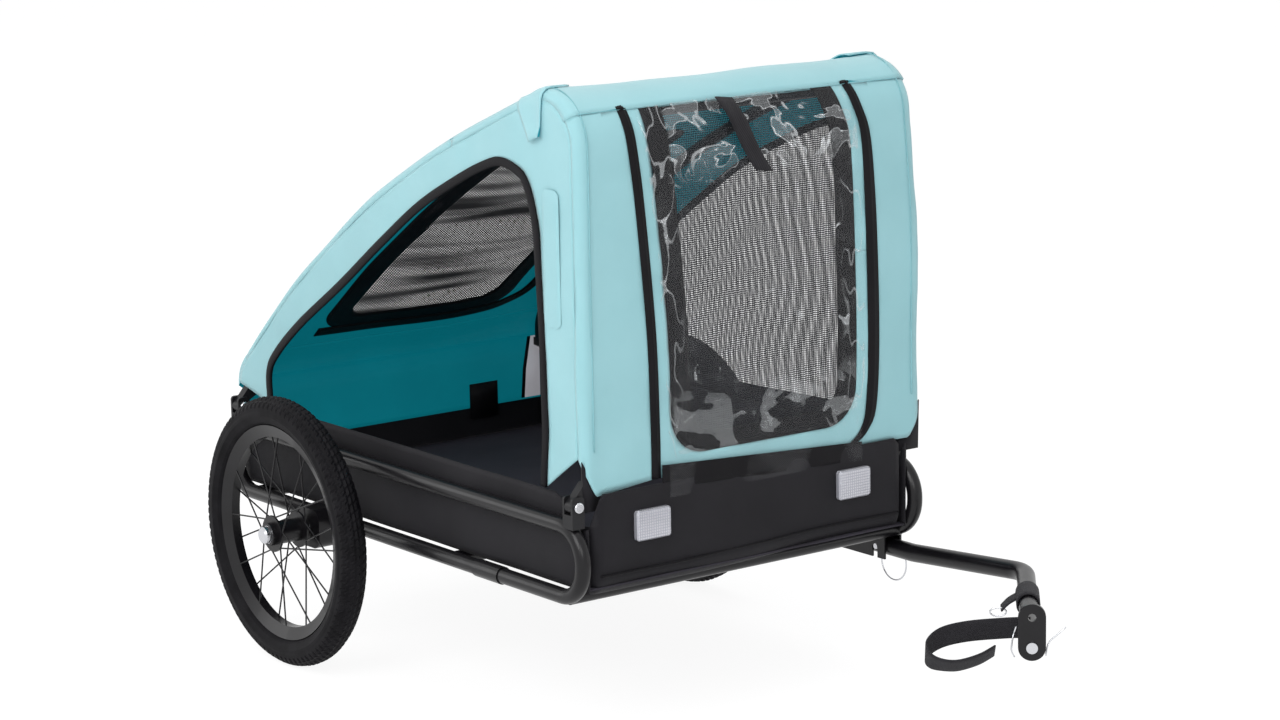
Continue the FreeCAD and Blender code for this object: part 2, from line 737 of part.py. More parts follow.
def hinge_bracket(side, position):
    """Clevis that sits on the upper rail and holds the hinge pin between two cheeks."""
    half = FOOT_HALF + SEAT + size("bracket_wall")
    y = side * size("rail_offset")
    low, high = y - size("bracket_width") / 2, y + size("bracket_width") / 2
    base, top = size("rail_high"), size("bracket_top")
    corner = size("bracket_width") / 4
    wire = rounded_wire([(Vector(position - half, low, base), 0), (Vector(position - half, high, base), 0),
                         (Vector(position - half, high, top), corner),
                         (Vector(position - half, low, top), corner)], closed=True)
    block = Part.Face(wire).extrude(Vector(2 * half, 0, 0))
    gap_low = size("hinge_height") - size("hinge_boss_radius") - SEAT
    gap = box(Vector(position - FOOT_HALF - SEAT, low - OVER, gap_low),
              Vector(position + FOOT_HALF + SEAT, high + OVER, top + OVER))
    arm_low, arm_high = sorted((y, y - side * (size("bracket_width") + OVER)))
    gap = gap.fuse(box(Vector(position - FOOT_HALF - SEAT, arm_low, base - OVER),
                       Vector(position + FOOT_HALF + SEAT, arm_high, top + OVER)))
    pin_start = Vector(position - half - OVER, y, size("hinge_height"))
    pin_end = Vector(position + half + OVER, y, size("hinge_height"))
    block = block.cut(gap).cut(both_loops).cut(rod(pin_start, pin_end, PIN_RADIUS))
    return max(block.Solids, key=lambda solid: solid.Volume)


def hinge_pin(side, position):
    half = FOOT_HALF + SEAT + size("bracket_wall")
    start = Vector(position - half, side * size("rail_offset"), size("hinge_height"))
    shank_end = start + Vector(2 * half, 0, 0)
    head_end = shank_end + Vector(size("bolt_head_length"), 0, 0)
    head = rod(shank_end, head_end, size("bolt_head_diameter") / 2)
    rounded = [edge for edge in head.Edges if abs(edge.CenterOfMass.x - head_end.x) < SEAT]
    head = head.makeFillet(size("bolt_head_length") / 2, rounded)
    return rod(start, shank_end, PIN_RADIUS).fuse(head)


arches = {}
pins = []
for name, side in SIDES.items():
    places = hinge_positions(side)
    arches[name] = bent_tube(rounded_wire(arch_corners(side)), ARCH_RADIUS)
    shaped(f"arch_tube_{name}", arches[name])
    group(f"arch_feet_{name}", [arch_foot(side, place) for place in places])
    group(f"hinge_brackets_{name}", [hinge_bracket(side, place) for place in places])
    pins += [hinge_pin(side, place) for place in places]
group("hinge_pins", pins)

BAR_X = size("bar_position")
LUG_HALF = size("lug_half_height")
BAR_PIN_RADIUS = size("bar_pin_diameter") / 2
BAR_PIN_REACH = Vector(ARCH_RADIUS, 0, 0)


def arch_height(side, position):
    """Height of an arch tube's centre line above a place along the trailer."""
    y = side * size("arch_offset")
    plumb = Part.makeLine(Vector(position, y, KNEE_HEIGHT), Vector(position, y, size("roof_front_height")))
    return plumb.distToShape(rounded_wire(arch_corners(side)))[1][0][0].z


bar_pivot = Vector(BAR_X, size("bar_pivot"), arch_height(LEFT, BAR_X) - size("bar_drop"))
bar_end = bar_pivot - Vector(0, size("bar_reach"), 0)


def leaned(shape):
    """Turn a piece drawn on a lengthwise hinge pin onto the bar's nearly upright one."""
    turned = shape.copy()
    turned.rotate(bar_pivot, Vector(0, 1, 0), BAR_HINGE_TURN)
    return turned


def bar_lug():
    """Tab on the left arch with the hinge pin that the bar swings back on."""
    half = Vector(size("lug_thickness") / 2, 0, 0)
    low = Vector(BAR_X, size("bar_pivot") - LUG_HALF, bar_pivot.z - LUG_HALF) - half
    high = Vector(BAR_X, size("arch_offset"), bar_pivot.z + LUG_HALF) + half
    pin = leaned(rod(bar_pivot - BAR_PIN_REACH, bar_pivot + BAR_PIN_REACH, BAR_PIN_RADIUS))
    tab = leaned(box(low, high)).cut(arches["left"]).cut(pin)
    return [max(tab.Solids, key=lambda solid: solid.Volume), pin]


def top_bar():
    """One tube across the cabin, forked at its hinge."""
    start = bar_pivot + Vector(0, size("bar_tail"), 0)
    half = size("lug_thickness") / 2 + SEAT
    slot = box(Vector(BAR_X - half, bar_pivot.y - size("bar_slot_depth"), bar_pivot.z - 2 * ARCH_RADIUS),
               Vector(BAR_X + half, start.y + OVER, bar_pivot.z + 2 * ARCH_RADIUS))
    bore = rod(bar_pivot - BAR_PIN_REACH * 2, bar_pivot + BAR_PIN_REACH * 2, BAR_PIN_RADIUS + RUN)
    return rod(start, bar_end, ARCH_RADIUS).cut(leaned(slot.fuse(bore)))


def bar_rest():
    """Hook on the right arch that the bar's free end sits under; the bar leaves it down and back."""
    thick = size("bar_rest_thickness")
    outer = -size("arch_offset")
    inner = bar_end.y + size("bar_rest_lap")
    front = BAR_X + ARCH_RADIUS + SEAT
    top = bar_end.z + ARCH_RADIUS + SEAT
    plate = box(Vector(BAR_X - ARCH_RADIUS, outer, top), Vector(front + thick, inner, top + thick))
    lip = box(Vector(front, outer, bar_end.z), Vector(front + thick, inner, top + thick))
    hook = plate.fuse(lip).cut(arches["right"])
    return max(hook.Solids, key=lambda solid: solid.Volume)


group("top_bar_lug", bar_lug())
shaped("top_bar_rest", bar_rest())
shaped("top_bar", top_bar())
print("top_bar pivot", bar_pivot + SHIFT)

TOW_Y = size("rail_offset")
CHANNEL_HALF = TOW_RADIUS + SEAT
TOW_PIN_RADIUS = size("tow_pin_diameter") / 2


def across_tow(position, reach, radius):
    return rod(Vector(position, TOW_Y - reach, size("tow_height")),
               Vector(position, TOW_Y + reach, size("tow_height")), radius)


def tow_channel():
    """Channel under the left rail: a pivot hole at the rear, an open slot for the lock pin in front."""
    wall = size("tow_channel_wall")
    outer = CHANNEL_HALF + wall
    rear, front = size("tow_channel_rear"), size("tow_channel_front")
    low, top = size("tow_channel_low"), size("rail_low")
    block = box(Vector(rear, TOW_Y - outer, low), Vector(front, TOW_Y + outer, top))
    roof = size("rail_low") - RAIL_RADIUS - wall
    inside = box(Vector(rear - OVER, TOW_Y - CHANNEL_HALF, low - OVER),
                 Vector(front + OVER, TOW_Y + CHANNEL_HALF, roof))
    slot_half = TOW_PIN_RADIUS + SEAT
    lock = size("tow_lock_position")
    slot = box(Vector(lock - slot_half - size("lock_slot_relief"), TOW_Y - outer - OVER, low - OVER),
               Vector(lock + slot_half, TOW_Y + outer + OVER, size("tow_height")))
    block = block.cut(inside).cut(slot).cut(across_tow(lock, outer + OVER, slot_half))
    block = block.cut(across_tow(size("tow_pivot_position"), outer + OVER, TOW_PIN_RADIUS)).cut(both_loops)
    return max(block.Solids, key=lambda solid: solid.Volume)


def tow_pivot_bolt():
    outer = CHANNEL_HALF + size("tow_channel_wall")
    head = size("bolt_head_length")
    shank = across_tow(size("tow_pivot_position"), outer, TOW_PIN_RADIUS)
    base = Vector(size("tow_pivot_position"), TOW_Y, size("tow_height"))
    for side in (RIGHT, LEFT):
        start = base + Vector(0, side * outer, 0)
        shank = shank.fuse(rod(start, start + Vector(0, side * head, 0), size("bolt_head_diameter") / 2))
    return shank.removeSplitter()


def tow_tube():
    height = size("tow_height")
    start = Vector(size("tow_pivot_position") - size("tow_tail"), TOW_Y, height)
    rise = Vector(size("tow_rise_position"), TOW_Y, height)
    bend = size("tow_bend_radius")
    wire = rounded_wire([(start, 0), (rise, bend), (tow_bend, bend), (tow_end, 0)])
    tube = bent_tube(wire, TOW_RADIUS)
    for position in (size("tow_pivot_position"), size("tow_lock_position")):
        tube = tube.cut(across_tow(position, TOW_RADIUS + OVER, TOW_PIN_RADIUS + RUN))
    return max(tube.Solids, key=lambda solid: solid.Volume)


def lock_pin():
    """Detent pin with a round wire ring that hangs from its head."""
    outer = CHANNEL_HALF + size("tow_channel_wall") + SEAT
    head_start = Vector(size("tow_lock_position"), TOW_Y + outer, size("tow_height"))
    wire_radius = size("ring_wire") / 2
    head_end = head_start + Vector(0, 4 * wire_radius, 0)
    pin = across_tow(size("tow_lock_position"), outer, TOW_PIN_RADIUS)
    head = rod(head_start, head_end, size("bolt_head_diameter") / 2)
    ring_radius = size("ring_diameter") / 2
    centre = (head_start + head_end) * 0.5 - Vector(0, 0, ring_radius + TOW_PIN_RADIUS / 2)
    ring = Part.makeTorus(ring_radius, wire_radius, centre, Vector(0, 1, 0))
    head = head.cut(ring)
    return [pin.fuse(max(head.Solids, key=lambda solid: solid.Volume)).removeSplitter(), ring]


shaped("tow_channel", tow_channel())
shaped("tow_pivot_bolt", tow_pivot_bolt())
tow = tow_tube()
shaped("tow_tube", tow)
group("tow_lock_pin", lock_pin())

BOLT_RADIUS = size("hitch_bolt_diameter") / 2


def coupler():
    """Moulded end piece that closes the tow tube and carries the hitch bolt."""
    start = tow_end - tow_axis * size("coupler_length")
    nose = tow_end + tow_axis * size("coupler_nose")
    shell_radius = TOW_RADIUS + size("coupler_wall")
    body = rod(start, nose, shell_radius)
    front = max(body.Faces, key=lambda face: face.CenterOfMass.dot(tow_axis))
    body = body.makeChamfer(size("coupler_wall"), front.Edges)
    body = body.cut(rod(start, tow_end, TOW_RADIUS)).cut(rod(tow_end, nose, BOLT_RADIUS))
    return max(body.Solids, key=lambda solid: solid.Volume)


def hitch_plate():
    """Flat link with round ends: the hitch bolt below, the bicycle's axle hole above."""
    back = hitch_centre
    half = size("hitch_plate_width") / 2
    reach = tow_up * size("hitch_plate_reach")
    left, right = tow_side * half, tow_side * -half
    spots = [back + right, back - tow_up * half, back + left, back + reach + left,
             back + reach + tow_up * half, back + reach + right]
    wire = Part.Wire([Part.Arc(spots[0], spots[1], spots[2]).toShape(), Part.makeLine(spots[2], spots[3]),
                      Part.Arc(spots[3], spots[4], spots[5]).toShape(), Part.makeLine(spots[5], spots[0])])
    through = tow_axis * size("hitch_plate_thickness")
    plate = Part.Face(wire).extrude(through)
    plate = plate.cut(rod(back, back + through, BOLT_RADIUS + RUN))
    return plate.cut(rod(back + reach, back + reach + through, size("hitch_axle_hole") / 2))


def hitch_bolt():
    seat = hitch_centre + tow_axis * (size("hitch_plate_thickness") + SEAT)
    shank = rod(tow_end, seat, BOLT_RADIUS)
    head = rod(seat, seat + tow_axis * size("bolt_head_length"), size("bolt_head_diameter") / 2)
    return shank.fuse(head).removeSplitter()


shaped("tow_coupler", coupler())
shaped("hitch_plate", hitch_plate())
shaped("hitch_bolt", hitch_bolt())


def safety_strap():
    """Webbing sewn round the tow tube, its free end hanging in an open loop."""
    width, thick = size("strap_width"), size("strap_thickness")
    seat = tow_end - tow_axis * (size("coupler_length") + size("strap_setback"))
    inner = TOW_RADIUS + SEAT
    half = tow_axis * (width / 2)
    wrap = rod(seat - half, seat + half, inner + thick).cut(rod(seat - half, seat + half, inner))
    start = seat - half - tow_up * (inner + thick / 2)
    out = tow_side * -1
    length, drop = size("strap_length"), size("strap_drop")
    corners = [(start, 0), (start + out * (length / 3), drop),
               (start + out * (length * 2 / 3) - tow_up * (drop / 2), drop),
               (start + out * length - tow_up * (drop / 2), drop / 2),
               (start + out * length - tow_up * (drop * 1.6), drop / 2),
               (start + out * (length / 2) - tow_up * (drop * 1.9), 0)]
    wire = rounded_wire(corners)
    section = Part.makePolygon([start - tow_up * (thick / 2), start + tow_up * (thick / 2),
                                start + tow_up * (thick / 2) + half * 2,
                                start - tow_up * (thick / 2) + half * 2, start - tow_up * (thick / 2)])
    tail = wire.makePipeShell([section], True, False)
    return wrap.fuse(tail).removeSplitter()


shaped("safety_strap", safety_strap())

doc.recompute()
for obj in doc.Objects:
    if "Invalid" in obj.State or "Error" in obj.State:
        raise RuntimeError(f"{obj.Label} did not recompute: {obj.State}")
for obj in nodes:
    if obj.Shape.isNull() or not obj.Shape.isValid():
        raise RuntimeError(f"{obj.Label} has no valid shape")

os.makedirs("parts", exist_ok=True)
for obj in nodes:
    obj.Shape.exportStep(f"parts/{obj.Label}.step")
print(f"{len(nodes)} sub-parts written, shift", SHIFT)
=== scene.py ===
"""Looks of the dog bike trailer: cloth cabin, mesh windows, clear rain flap, tub, tyres and tow gear."""
import json
import math

import bpy
import numpy as np
from mathutils import Matrix, Vector, noise


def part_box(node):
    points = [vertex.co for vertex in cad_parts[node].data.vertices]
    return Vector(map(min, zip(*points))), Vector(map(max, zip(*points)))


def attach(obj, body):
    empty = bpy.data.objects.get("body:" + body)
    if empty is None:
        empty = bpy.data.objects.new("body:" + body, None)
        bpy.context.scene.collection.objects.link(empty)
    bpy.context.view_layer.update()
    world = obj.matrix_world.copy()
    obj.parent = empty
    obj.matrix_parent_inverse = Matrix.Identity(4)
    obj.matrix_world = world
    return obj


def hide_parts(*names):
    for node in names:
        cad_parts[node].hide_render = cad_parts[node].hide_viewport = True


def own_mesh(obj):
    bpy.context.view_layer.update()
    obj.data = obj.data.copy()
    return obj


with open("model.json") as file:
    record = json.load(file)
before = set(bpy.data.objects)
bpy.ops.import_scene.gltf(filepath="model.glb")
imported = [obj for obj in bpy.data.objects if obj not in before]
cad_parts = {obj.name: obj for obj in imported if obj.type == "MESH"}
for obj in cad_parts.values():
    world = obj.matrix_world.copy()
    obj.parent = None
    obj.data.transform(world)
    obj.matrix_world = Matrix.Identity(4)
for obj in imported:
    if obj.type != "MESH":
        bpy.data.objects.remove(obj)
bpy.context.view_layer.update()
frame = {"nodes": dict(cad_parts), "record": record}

# Places in metres, measured from the axle line as the construction is.
AXLE_X = sum(corner[0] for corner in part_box("axle_right")) / 2
SIDES = ((-1, "right"), (1, "left"))
LINED = ["aqua", "teal"]

# Cabin outline seen from the side.
CABIN_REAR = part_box("roof_cover")[0][0] - AXLE_X
CABIN_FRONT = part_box("front_cover")[1][0] - AXLE_X
CABIN_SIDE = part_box("side_cover_left")[1][1]
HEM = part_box("roof_cover")[0][2]
SHOULDER = (CABIN_REAR, 0.394)
SHOULDER_RADIUS = 0.060
KNEE = (0.047, 0.694)
KNEE_RADIUS = 1.9
CROWN = (CABIN_FRONT, 0.927)
CROWN_RADIUS = 0.075
EDGE_RADIUS = 0.014
CLOTH = 0.002
TUB_CLOTH = 0.0024
FILM = 0.0008
ZIP_TAPE = 0.0012
STRAP = 0.0022
STRAP_HALF = 0.0145
WIRE = 0.0011
# The left front of the cabin stands out over its hinge: how far, and between which y, x and z it comes and goes.
FLARE = 0.030
FLARE_Y, FLARE_X, FLARE_Z = (0.205, 0.280), (0.20, 0.60), (0.66, 0.86)

# Doorway outline, as points of (x, z) from its rear foot over the top to its front foot.
DOOR = [(-0.168, 0.352), (-0.168, 0.402), (-0.144, 0.436), (-0.072, 0.492), (0.043, 0.565), (0.154, 0.640),
        (0.260, 0.707), (0.361, 0.756), (0.423, 0.781), (0.459, 0.790), (0.494, 0.785), (0.521, 0.768),
        (0.542, 0.716), (0.548, 0.650), (0.553, 0.569), (0.555, 0.473), (0.555, 0.420), (0.548, 0.352)]
# Zips beside the front window, as points of (y, z) from the hem up.
ZIP_RIGHT = [(-0.164, 0.360), (-0.164, 0.430), (-0.168, 0.566), (-0.184, 0.743), (-0.196, 0.830), (-0.200, 0.872)]
ZIP_LEFT = [(0.176, 0.352), (0.203, 0.372), (0.216, 0.415), (0.219, 0.558), (0.212, 0.770), (0.196, 0.835),
            (0.184, 0.872)]
ZIP_WIDTH = 0.015


def srgb(red, green, blue):
    """Linear colour from display values of 0 to 255."""
    def channel(value):
        value = value / 255
        return value / 12.92 if value <= 0.04045 else ((value + 0.055) / 1.055) ** 2.4
    return (channel(red), channel(green), channel(blue), 1.0)


AQUA = srgb(152, 203, 210)
AQUA_DEEP = srgb(120, 178, 186)
TEAL = srgb(6, 120, 134)
BLACK_CLOTH = srgb(30, 29, 33)
BLACK_TRIM = srgb(17, 16, 19)


# Materials

GATHER_TURN = 0.14
CLEAR_VEIL = 0.014


class Shade:
    """A node material with one principled shader and short ways to add texture to it."""

    def __init__(self, name, colour, roughness, metallic=0.0, sheen=0.0, coat=0.0, specular=0.5):
        self.material = bpy.data.materials.new(name)
        self.material.use_nodes = True
        self.tree = self.material.node_tree
        self.shader = self.tree.nodes["Principled BSDF"]
        for socket, value in (("Base Color", colour), ("Roughness", roughness), ("Metallic", metallic),
                              ("Specular IOR Level", specular), ("Sheen Weight", sheen), ("Coat Weight", coat)):
            self.shader.inputs[socket].default_value = value
        self.colour = colour
        self.bumps = []

    def node(self, kind, **values):
        made = self.tree.nodes.new(kind)
        for key, value in values.items():
            if key in made.inputs:
                made.inputs[key].default_value = value
            else:
                setattr(made, key, value)
        return made

    def link(self, source, target):
        self.tree.links.new(source, target)

    def coords(self, kind="Object"):
        return self.node("ShaderNodeTexCoord").outputs[kind]

    def math(self, operation, first, second=0.0):
        made = self.node("ShaderNodeMath", operation=operation)
        for socket, value in zip(made.inputs, (first, second)):
            if isinstance(value, (int, float)):
                socket.default_value = value
            else:
                self.link(value, socket)
        return made.outputs[0]

    def product(self, *factors):
        total = factors[0]
        for factor in factors[1:]:
            total = self.math("MULTIPLY", total, factor)
        return total

    def ramp(self, value, low, high, start, end, kind="SMOOTHSTEP"):
        """A step from one value to another, soft unless its kind says otherwise."""
        made = self.node("ShaderNodeMapRange", interpolation_type=kind)
        for socket, number in zip(made.inputs[1:5], (low, high, start, end)):
            socket.default_value = number
        self.link(value, made.inputs["Value"])
        return made.outputs["Result"]

    def noise(self, scale, detail=3.0, kind="Object", stretch=(1, 1, 1), turn=0.0, twist=0.0):
        mapping = self.node("ShaderNodeMapping", Scale=stretch, Rotation=(0.0, 0.0, turn))
        self.link(self.coords(kind), mapping.inputs["Vector"])
        made = self.node("ShaderNodeTexNoise", Scale=scale, Detail=detail, Distortion=twist)
        self.link(mapping.outputs["Vector"], made.inputs["Vector"])
        return made.outputs["Fac"]

    def vary_colour(self, factor, other, low=0.35, high=0.65):
        mix = self.node("ShaderNodeMix", data_type="RGBA")
        colours = [socket for socket in mix.inputs if socket.type == "RGBA"]
        colours[0].default_value = self.colour
        colours[1].default_value = other
        self.link(self.ramp(factor, low, high, 0.0, 1.0, "LINEAR"), mix.inputs["Factor"])
        out = [socket for socket in mix.outputs if socket.type == "RGBA"][0]
        self.link(out, self.shader.inputs["Base Color"])

    def vary_roughness(self, factor, low, high):
        self.link(self.ramp(factor, 0.0, 1.0, low, high, "LINEAR"), self.shader.inputs["Roughness"])

    def bump(self, height, strength, distance):
        made = self.node("ShaderNodeBump", Strength=strength, Distance=distance)
        self.link(height, made.inputs["Height"])
        if self.bumps:
            self.link(self.bumps[-1].outputs["Normal"], made.inputs["Normal"])
        self.bumps.append(made)
        self.link(made.outputs["Normal"], self.shader.inputs["Normal"])

    def cloth_axes(self):
        split = self.node("ShaderNodeSeparateXYZ")
        self.link(self.coords("UV"), split.inputs["Vector"])
        return split.outputs["X"], split.outputs["Y"]

    def weave(self, pitch):
        """Over-and-under threads on the piece's own cloth coordinates."""
        waves = [self.math("SINE", self.math("MULTIPLY", axis, math.pi / pitch)) for axis in self.cloth_axes()]
        return self.math("MULTIPLY", *waves)

    def net(self, pitch, thread_share):
        """1 on the threads of a square net and 0 in its gaps."""
        threads = [self.math("LESS_THAN", self.math("FRACT", self.math("DIVIDE", axis, pitch)), thread_share)
                   for axis in self.cloth_axes()]
        return self.math("MAXIMUM", *threads)


def cloth_shade(name, colour, other, pitch=0.0011, sheen=0.3, roughness=0.55, specular=0.5, glow=0.0):
    """Woven cloth; a glow stands for the daylight that comes through a thin wall."""
    shade = Shade(name, colour, roughness, sheen=sheen, specular=specular)
    shade.shader.inputs["Emission Color"].default_value = colour
    shade.shader.inputs["Emission Strength"].default_value = glow
    shade.vary_colour(shade.noise(9.0, 4.0), other)
    shade.bump(shade.weave(pitch), 0.35, 0.0004)
    shade.bump(shade.noise(22.0, 5.0), 0.16, 0.004)
    return shade.material


def net_shade(name, colour, pitch, share, gathers=None):
    """Square net; where it gathers its threads lie closer."""
    shade = Shade(name, colour, 0.8, specular=0.15)
    threads = shade.net(pitch, share)
    if gathers:
        first = shade.noise(1.0, 2.0, "UV", gathers, turn=GATHER_TURN)
        second = shade.noise(1.3, 1.0, "UV", gathers, turn=-GATHER_TURN)
        folds = shade.ramp(shade.math("MAXIMUM", first, second), 0.50, 0.70, 0.0, 1.0)
        threads = shade.math("MAXIMUM", threads, shade.math("MULTIPLY", folds, 0.96))
    shade.link(threads, shade.shader.inputs["Alpha"])
    shade.vary_colour(shade.noise(14.0, 2.0), srgb(44, 44, 48))
    return shade.material


def film_shade():
    """Clear vinyl: sees through, and where it buckles along its hem, sides and top it carries sharp-edged glossy
    patches and bright lines that are painted reflections.
    """
    shade = Shade("clear_film", (0.72, 0.75, 0.77, 1.0), 0.10, metallic=0.35)
    across, reach = shade.cloth_axes()
    buckle = shade.noise(17.0, 1.8, "UV", (0.8, 1.1, 1.0), turn=0.5, twist=1.3)
    crease = shade.noise(34.0, 1.2, "UV", (1.0, 0.35, 1.0), turn=-0.2)
    crease_highlights = shade.ramp(shade.math("ABSOLUTE", shade.math("SUBTRACT", crease, 0.5)), 0.006, 0.018, 1.0, 0.0)
    rim_highlight = shade.ramp(shade.math("ABSOLUTE", shade.math("SUBTRACT", buckle, 0.53)), 0.006, 0.016, 1.0, 0.0)
    window = shade.product(shade.ramp(across, -0.142, -0.134, 0.0, 1.0), shade.ramp(across, 0.182, 0.190, 1.0, 0.0))
    patches = shade.product(shade.ramp(buckle, 0.500, 0.520, 0.0, 1.0), window,
                            shade.ramp(reach, 0.034, 0.040, 0.0, 1.0))
    beside = shade.math("MAXIMUM", shade.ramp(across, -0.150, -0.105, 1.0, 0.0),
                        shade.ramp(across, 0.155, 0.190, 0.0, 1.0))
    # Painted reflections and highlights: each mask turns the film opaque and shiny in glossy patches, bright buckle
    # rims and thin crease streaks.
    painted_reflections = (shade.product(patches, shade.ramp(reach, 0.085, 0.150, 0.085, 0.0)),
             shade.product(patches, shade.ramp(reach, 0.395, 0.470, 0.0, 0.07)),
             shade.product(rim_highlight, window, shade.ramp(reach, 0.395, 0.450, 0.0, 0.30)),
             shade.product(crease_highlights, beside, shade.ramp(reach, 0.034, 0.040, 0.0, 0.18)),
             shade.product(crease_highlights, shade.ramp(buckle, 0.60, 0.68, 0.0, 0.20)))
    painted_reflection = painted_reflections[0]
    for other in painted_reflections[1:]:
        painted_reflection = shade.math("MAXIMUM", painted_reflection, other)
    shade.link(shade.math("ADD", painted_reflection, CLEAR_VEIL), shade.shader.inputs["Alpha"])
    shade.bump(buckle, 0.35, 0.02)
    shade.bump(crease, 0.25, 0.01)
    return shade.material


def metal_shade(name, colour, roughness, scratch=60.0):
    shade = Shade(name, colour, roughness, metallic=1.0)
    grain = shade.noise(scratch, 4.0)
    shade.vary_roughness(grain, roughness * 0.7, roughness * 1.5)
    shade.bump(grain, 0.05, 0.0004)
    return shade.material


def paint_shade(name, colour, other, roughness, coat=0.15):
    shade = Shade(name, colour, roughness, coat=coat, specular=0.28)
    speck = shade.noise(420.0, 2.0)
    shade.vary_colour(shade.noise(24.0, 4.0), other)
    shade.vary_roughness(shade.noise(30.0, 5.0), roughness * 0.8, roughness * 1.3)
    shade.bump(speck, 0.08, 0.0003)
    return shade.material


def rubber_shade():
    shade = Shade("tyre_rubber", srgb(10, 9, 12), 0.6, specular=0.10)
    shade.vary_colour(shade.noise(40.0, 5.0), srgb(22, 21, 24))
    shade.bump(shade.noise(500.0, 3.0), 0.18, 0.0006)
    return shade.material


def webbing_shade():
    shade = Shade("black_webbing", srgb(33, 32, 36), 0.7, sheen=0.04, specular=0.2)
    shade.vary_colour(shade.noise(30.0, 4.0), srgb(42, 41, 45))
    shade.bump(shade.weave(0.0016), 0.7, 0.0007)
    return shade.material


def lens_shade():
    shade = Shade("reflector_lens", srgb(226, 227, 234), 0.18, metallic=0.35, coat=0.6)
    prism = shade.node("ShaderNodeTexVoronoi", Scale=260.0, Randomness=0.0, feature="F1", distance="CHEBYCHEV")
    shade.link(shade.coords("Object"), prism.inputs["Vector"])
    shade.bump(prism.outputs["Distance"], 0.8, 0.003)
    shade.vary_colour(prism.outputs["Distance"], srgb(150, 151, 162), 0.1, 0.6)
    return shade.material


MATERIALS = {
    "aqua": cloth_shade("aqua_cloth", AQUA, srgb(146, 198, 205)),
    "aqua_deep": cloth_shade("aqua_seam", AQUA_DEEP, srgb(132, 188, 196)),
    # The lining's glow is painted light: daylight coming through the thin cabin wall.
    "teal": cloth_shade("teal_lining", TEAL, srgb(4, 108, 122), sheen=0.0, specular=0.2, glow=0.46),
    "black_cloth": cloth_shade("black_cloth", BLACK_CLOTH, srgb(24, 23, 27), sheen=0.04, specular=0.14),
    "black_trim": cloth_shade("black_trim", BLACK_TRIM, srgb(23, 22, 25), pitch=0.0016, sheen=0.0, specular=0.12),
    # The floor cloth's glow is painted light falling into the cabin.
    "floor_cloth": cloth_shade("floor_cloth", srgb(58, 56, 63), srgb(50, 48, 54), sheen=0.0, specular=0.08, glow=0.10),
    "net": net_shade("black_net", srgb(30, 30, 34), 0.0030, 0.35),
    "net_dense": net_shade("black_net_rear", srgb(30, 30, 34), 0.0046, 0.60, (2.2, 14.0, 1.0)),
    # Painted daylight: the pale colour and glow stand for bright light seen through the corner net.
    "pale_net": cloth_shade("pale_net", srgb(172, 171, 177), srgb(140, 139, 146), pitch=0.003, sheen=0.0, glow=0.52),
    "film": film_shade(),
    "steel": metal_shade("bright_steel", srgb(205, 206, 210), 0.2),
    "tube": paint_shade("black_tube", srgb(13, 12, 15), srgb(19, 18, 21), 0.3, coat=0.08),
    "plastic": paint_shade("black_plastic", srgb(17, 17, 19), srgb(24, 24, 27), 0.42, coat=0.0),
    "tyre": rubber_shade(),
    "webbing": webbing_shade(),
    "lens": lens_shade(),
}
SLOT_MATERIAL = {"black_tube": "tube", "black_plastic": "plastic", "bright_steel": "steel",
                 "tyre_rubber": "tyre", "aqua_cloth": "aqua", "black_cloth": "black_cloth",
                 "black_mesh": "net", "black_webbing": "webbing", "clear_film": "film",
                 "reflector_lens": "lens"}

for entry in frame["record"]["subparts"]:
    holder = frame["nodes"][entry["node"]]
    holder.data.materials.clear()
    holder.data.materials.append(MATERIALS[SLOT_MATERIAL[entry["material_slot"]]])


# Curves and surfaces of the cabin


def smooth_line(points, step=0.006):
    """A smooth line through given points, with evenly spaced samples."""
    points = [np.array(p, float) for p in points]
    padded = [2 * points[0] - points[1]] + points + [2 * points[-1] - points[-2]]
    dense = []
    for before, start, end, after in zip(padded, padded[1:], padded[2:], padded[3:]):
        count = max(int(np.linalg.norm(end - start) / step), 2)
        for index in range(count):
            t = index / count
            dense.append(0.5 * (2 * start + (end - before) * t + (2 * before - 5 * start + 4 * end - after) * t ** 2
                                + (3 * start - before - 3 * end + after) * t ** 3))
    dense.append(points[-1])
    return np.array(dense)


def resample(line, count):
    steps = np.linalg.norm(np.diff(line, axis=0), axis=1)
    reach = np.concatenate([[0], np.cumsum(steps)])
    spots = np.linspace(0, reach[-1], count)
    return np.stack([np.interp(spots, reach, line[:, k]) for k in range(line.shape[1])], axis=1)


def line_length(line):
    return float(np.linalg.norm(np.diff(line, axis=0), axis=1).sum())


def bent_line(corners, step=0.008):
    """Straight runs joined by tangent arcs; corners are (x, z, radius)."""
    spots = [np.array(c[:2], float) for c in corners]
    out = [spots[0]]
    for before, here, after, corner in zip(spots, spots[1:], spots[2:], corners[1:-1]):
        back = (before - here) / np.linalg.norm(before - here)
        ahead = (after - here) / np.linalg.norm(after - here)
        half = math.acos(np.clip(back @ ahead, -1, 1)) / 2
        radius = corner[2]
        inward = (back + ahead) / np.linalg.norm(back + ahead)
        centre = here + inward * radius / math.sin(half)
        start, end = here + back * radius / math.tan(half), here + ahead * radius / math.tan(half)
        sweep = math.pi - 2 * half
        count = max(int(radius * sweep / step), 6)
        first, last = start - centre, end - centre
        for index in range(count + 1):
            t = index / count
            spoke = (first * math.sin((1 - t) * sweep) + last * math.sin(t * sweep)) / math.sin(sweep)
            out.append(centre + spoke)
    out.append(spots[-1])
    return np.array(out)


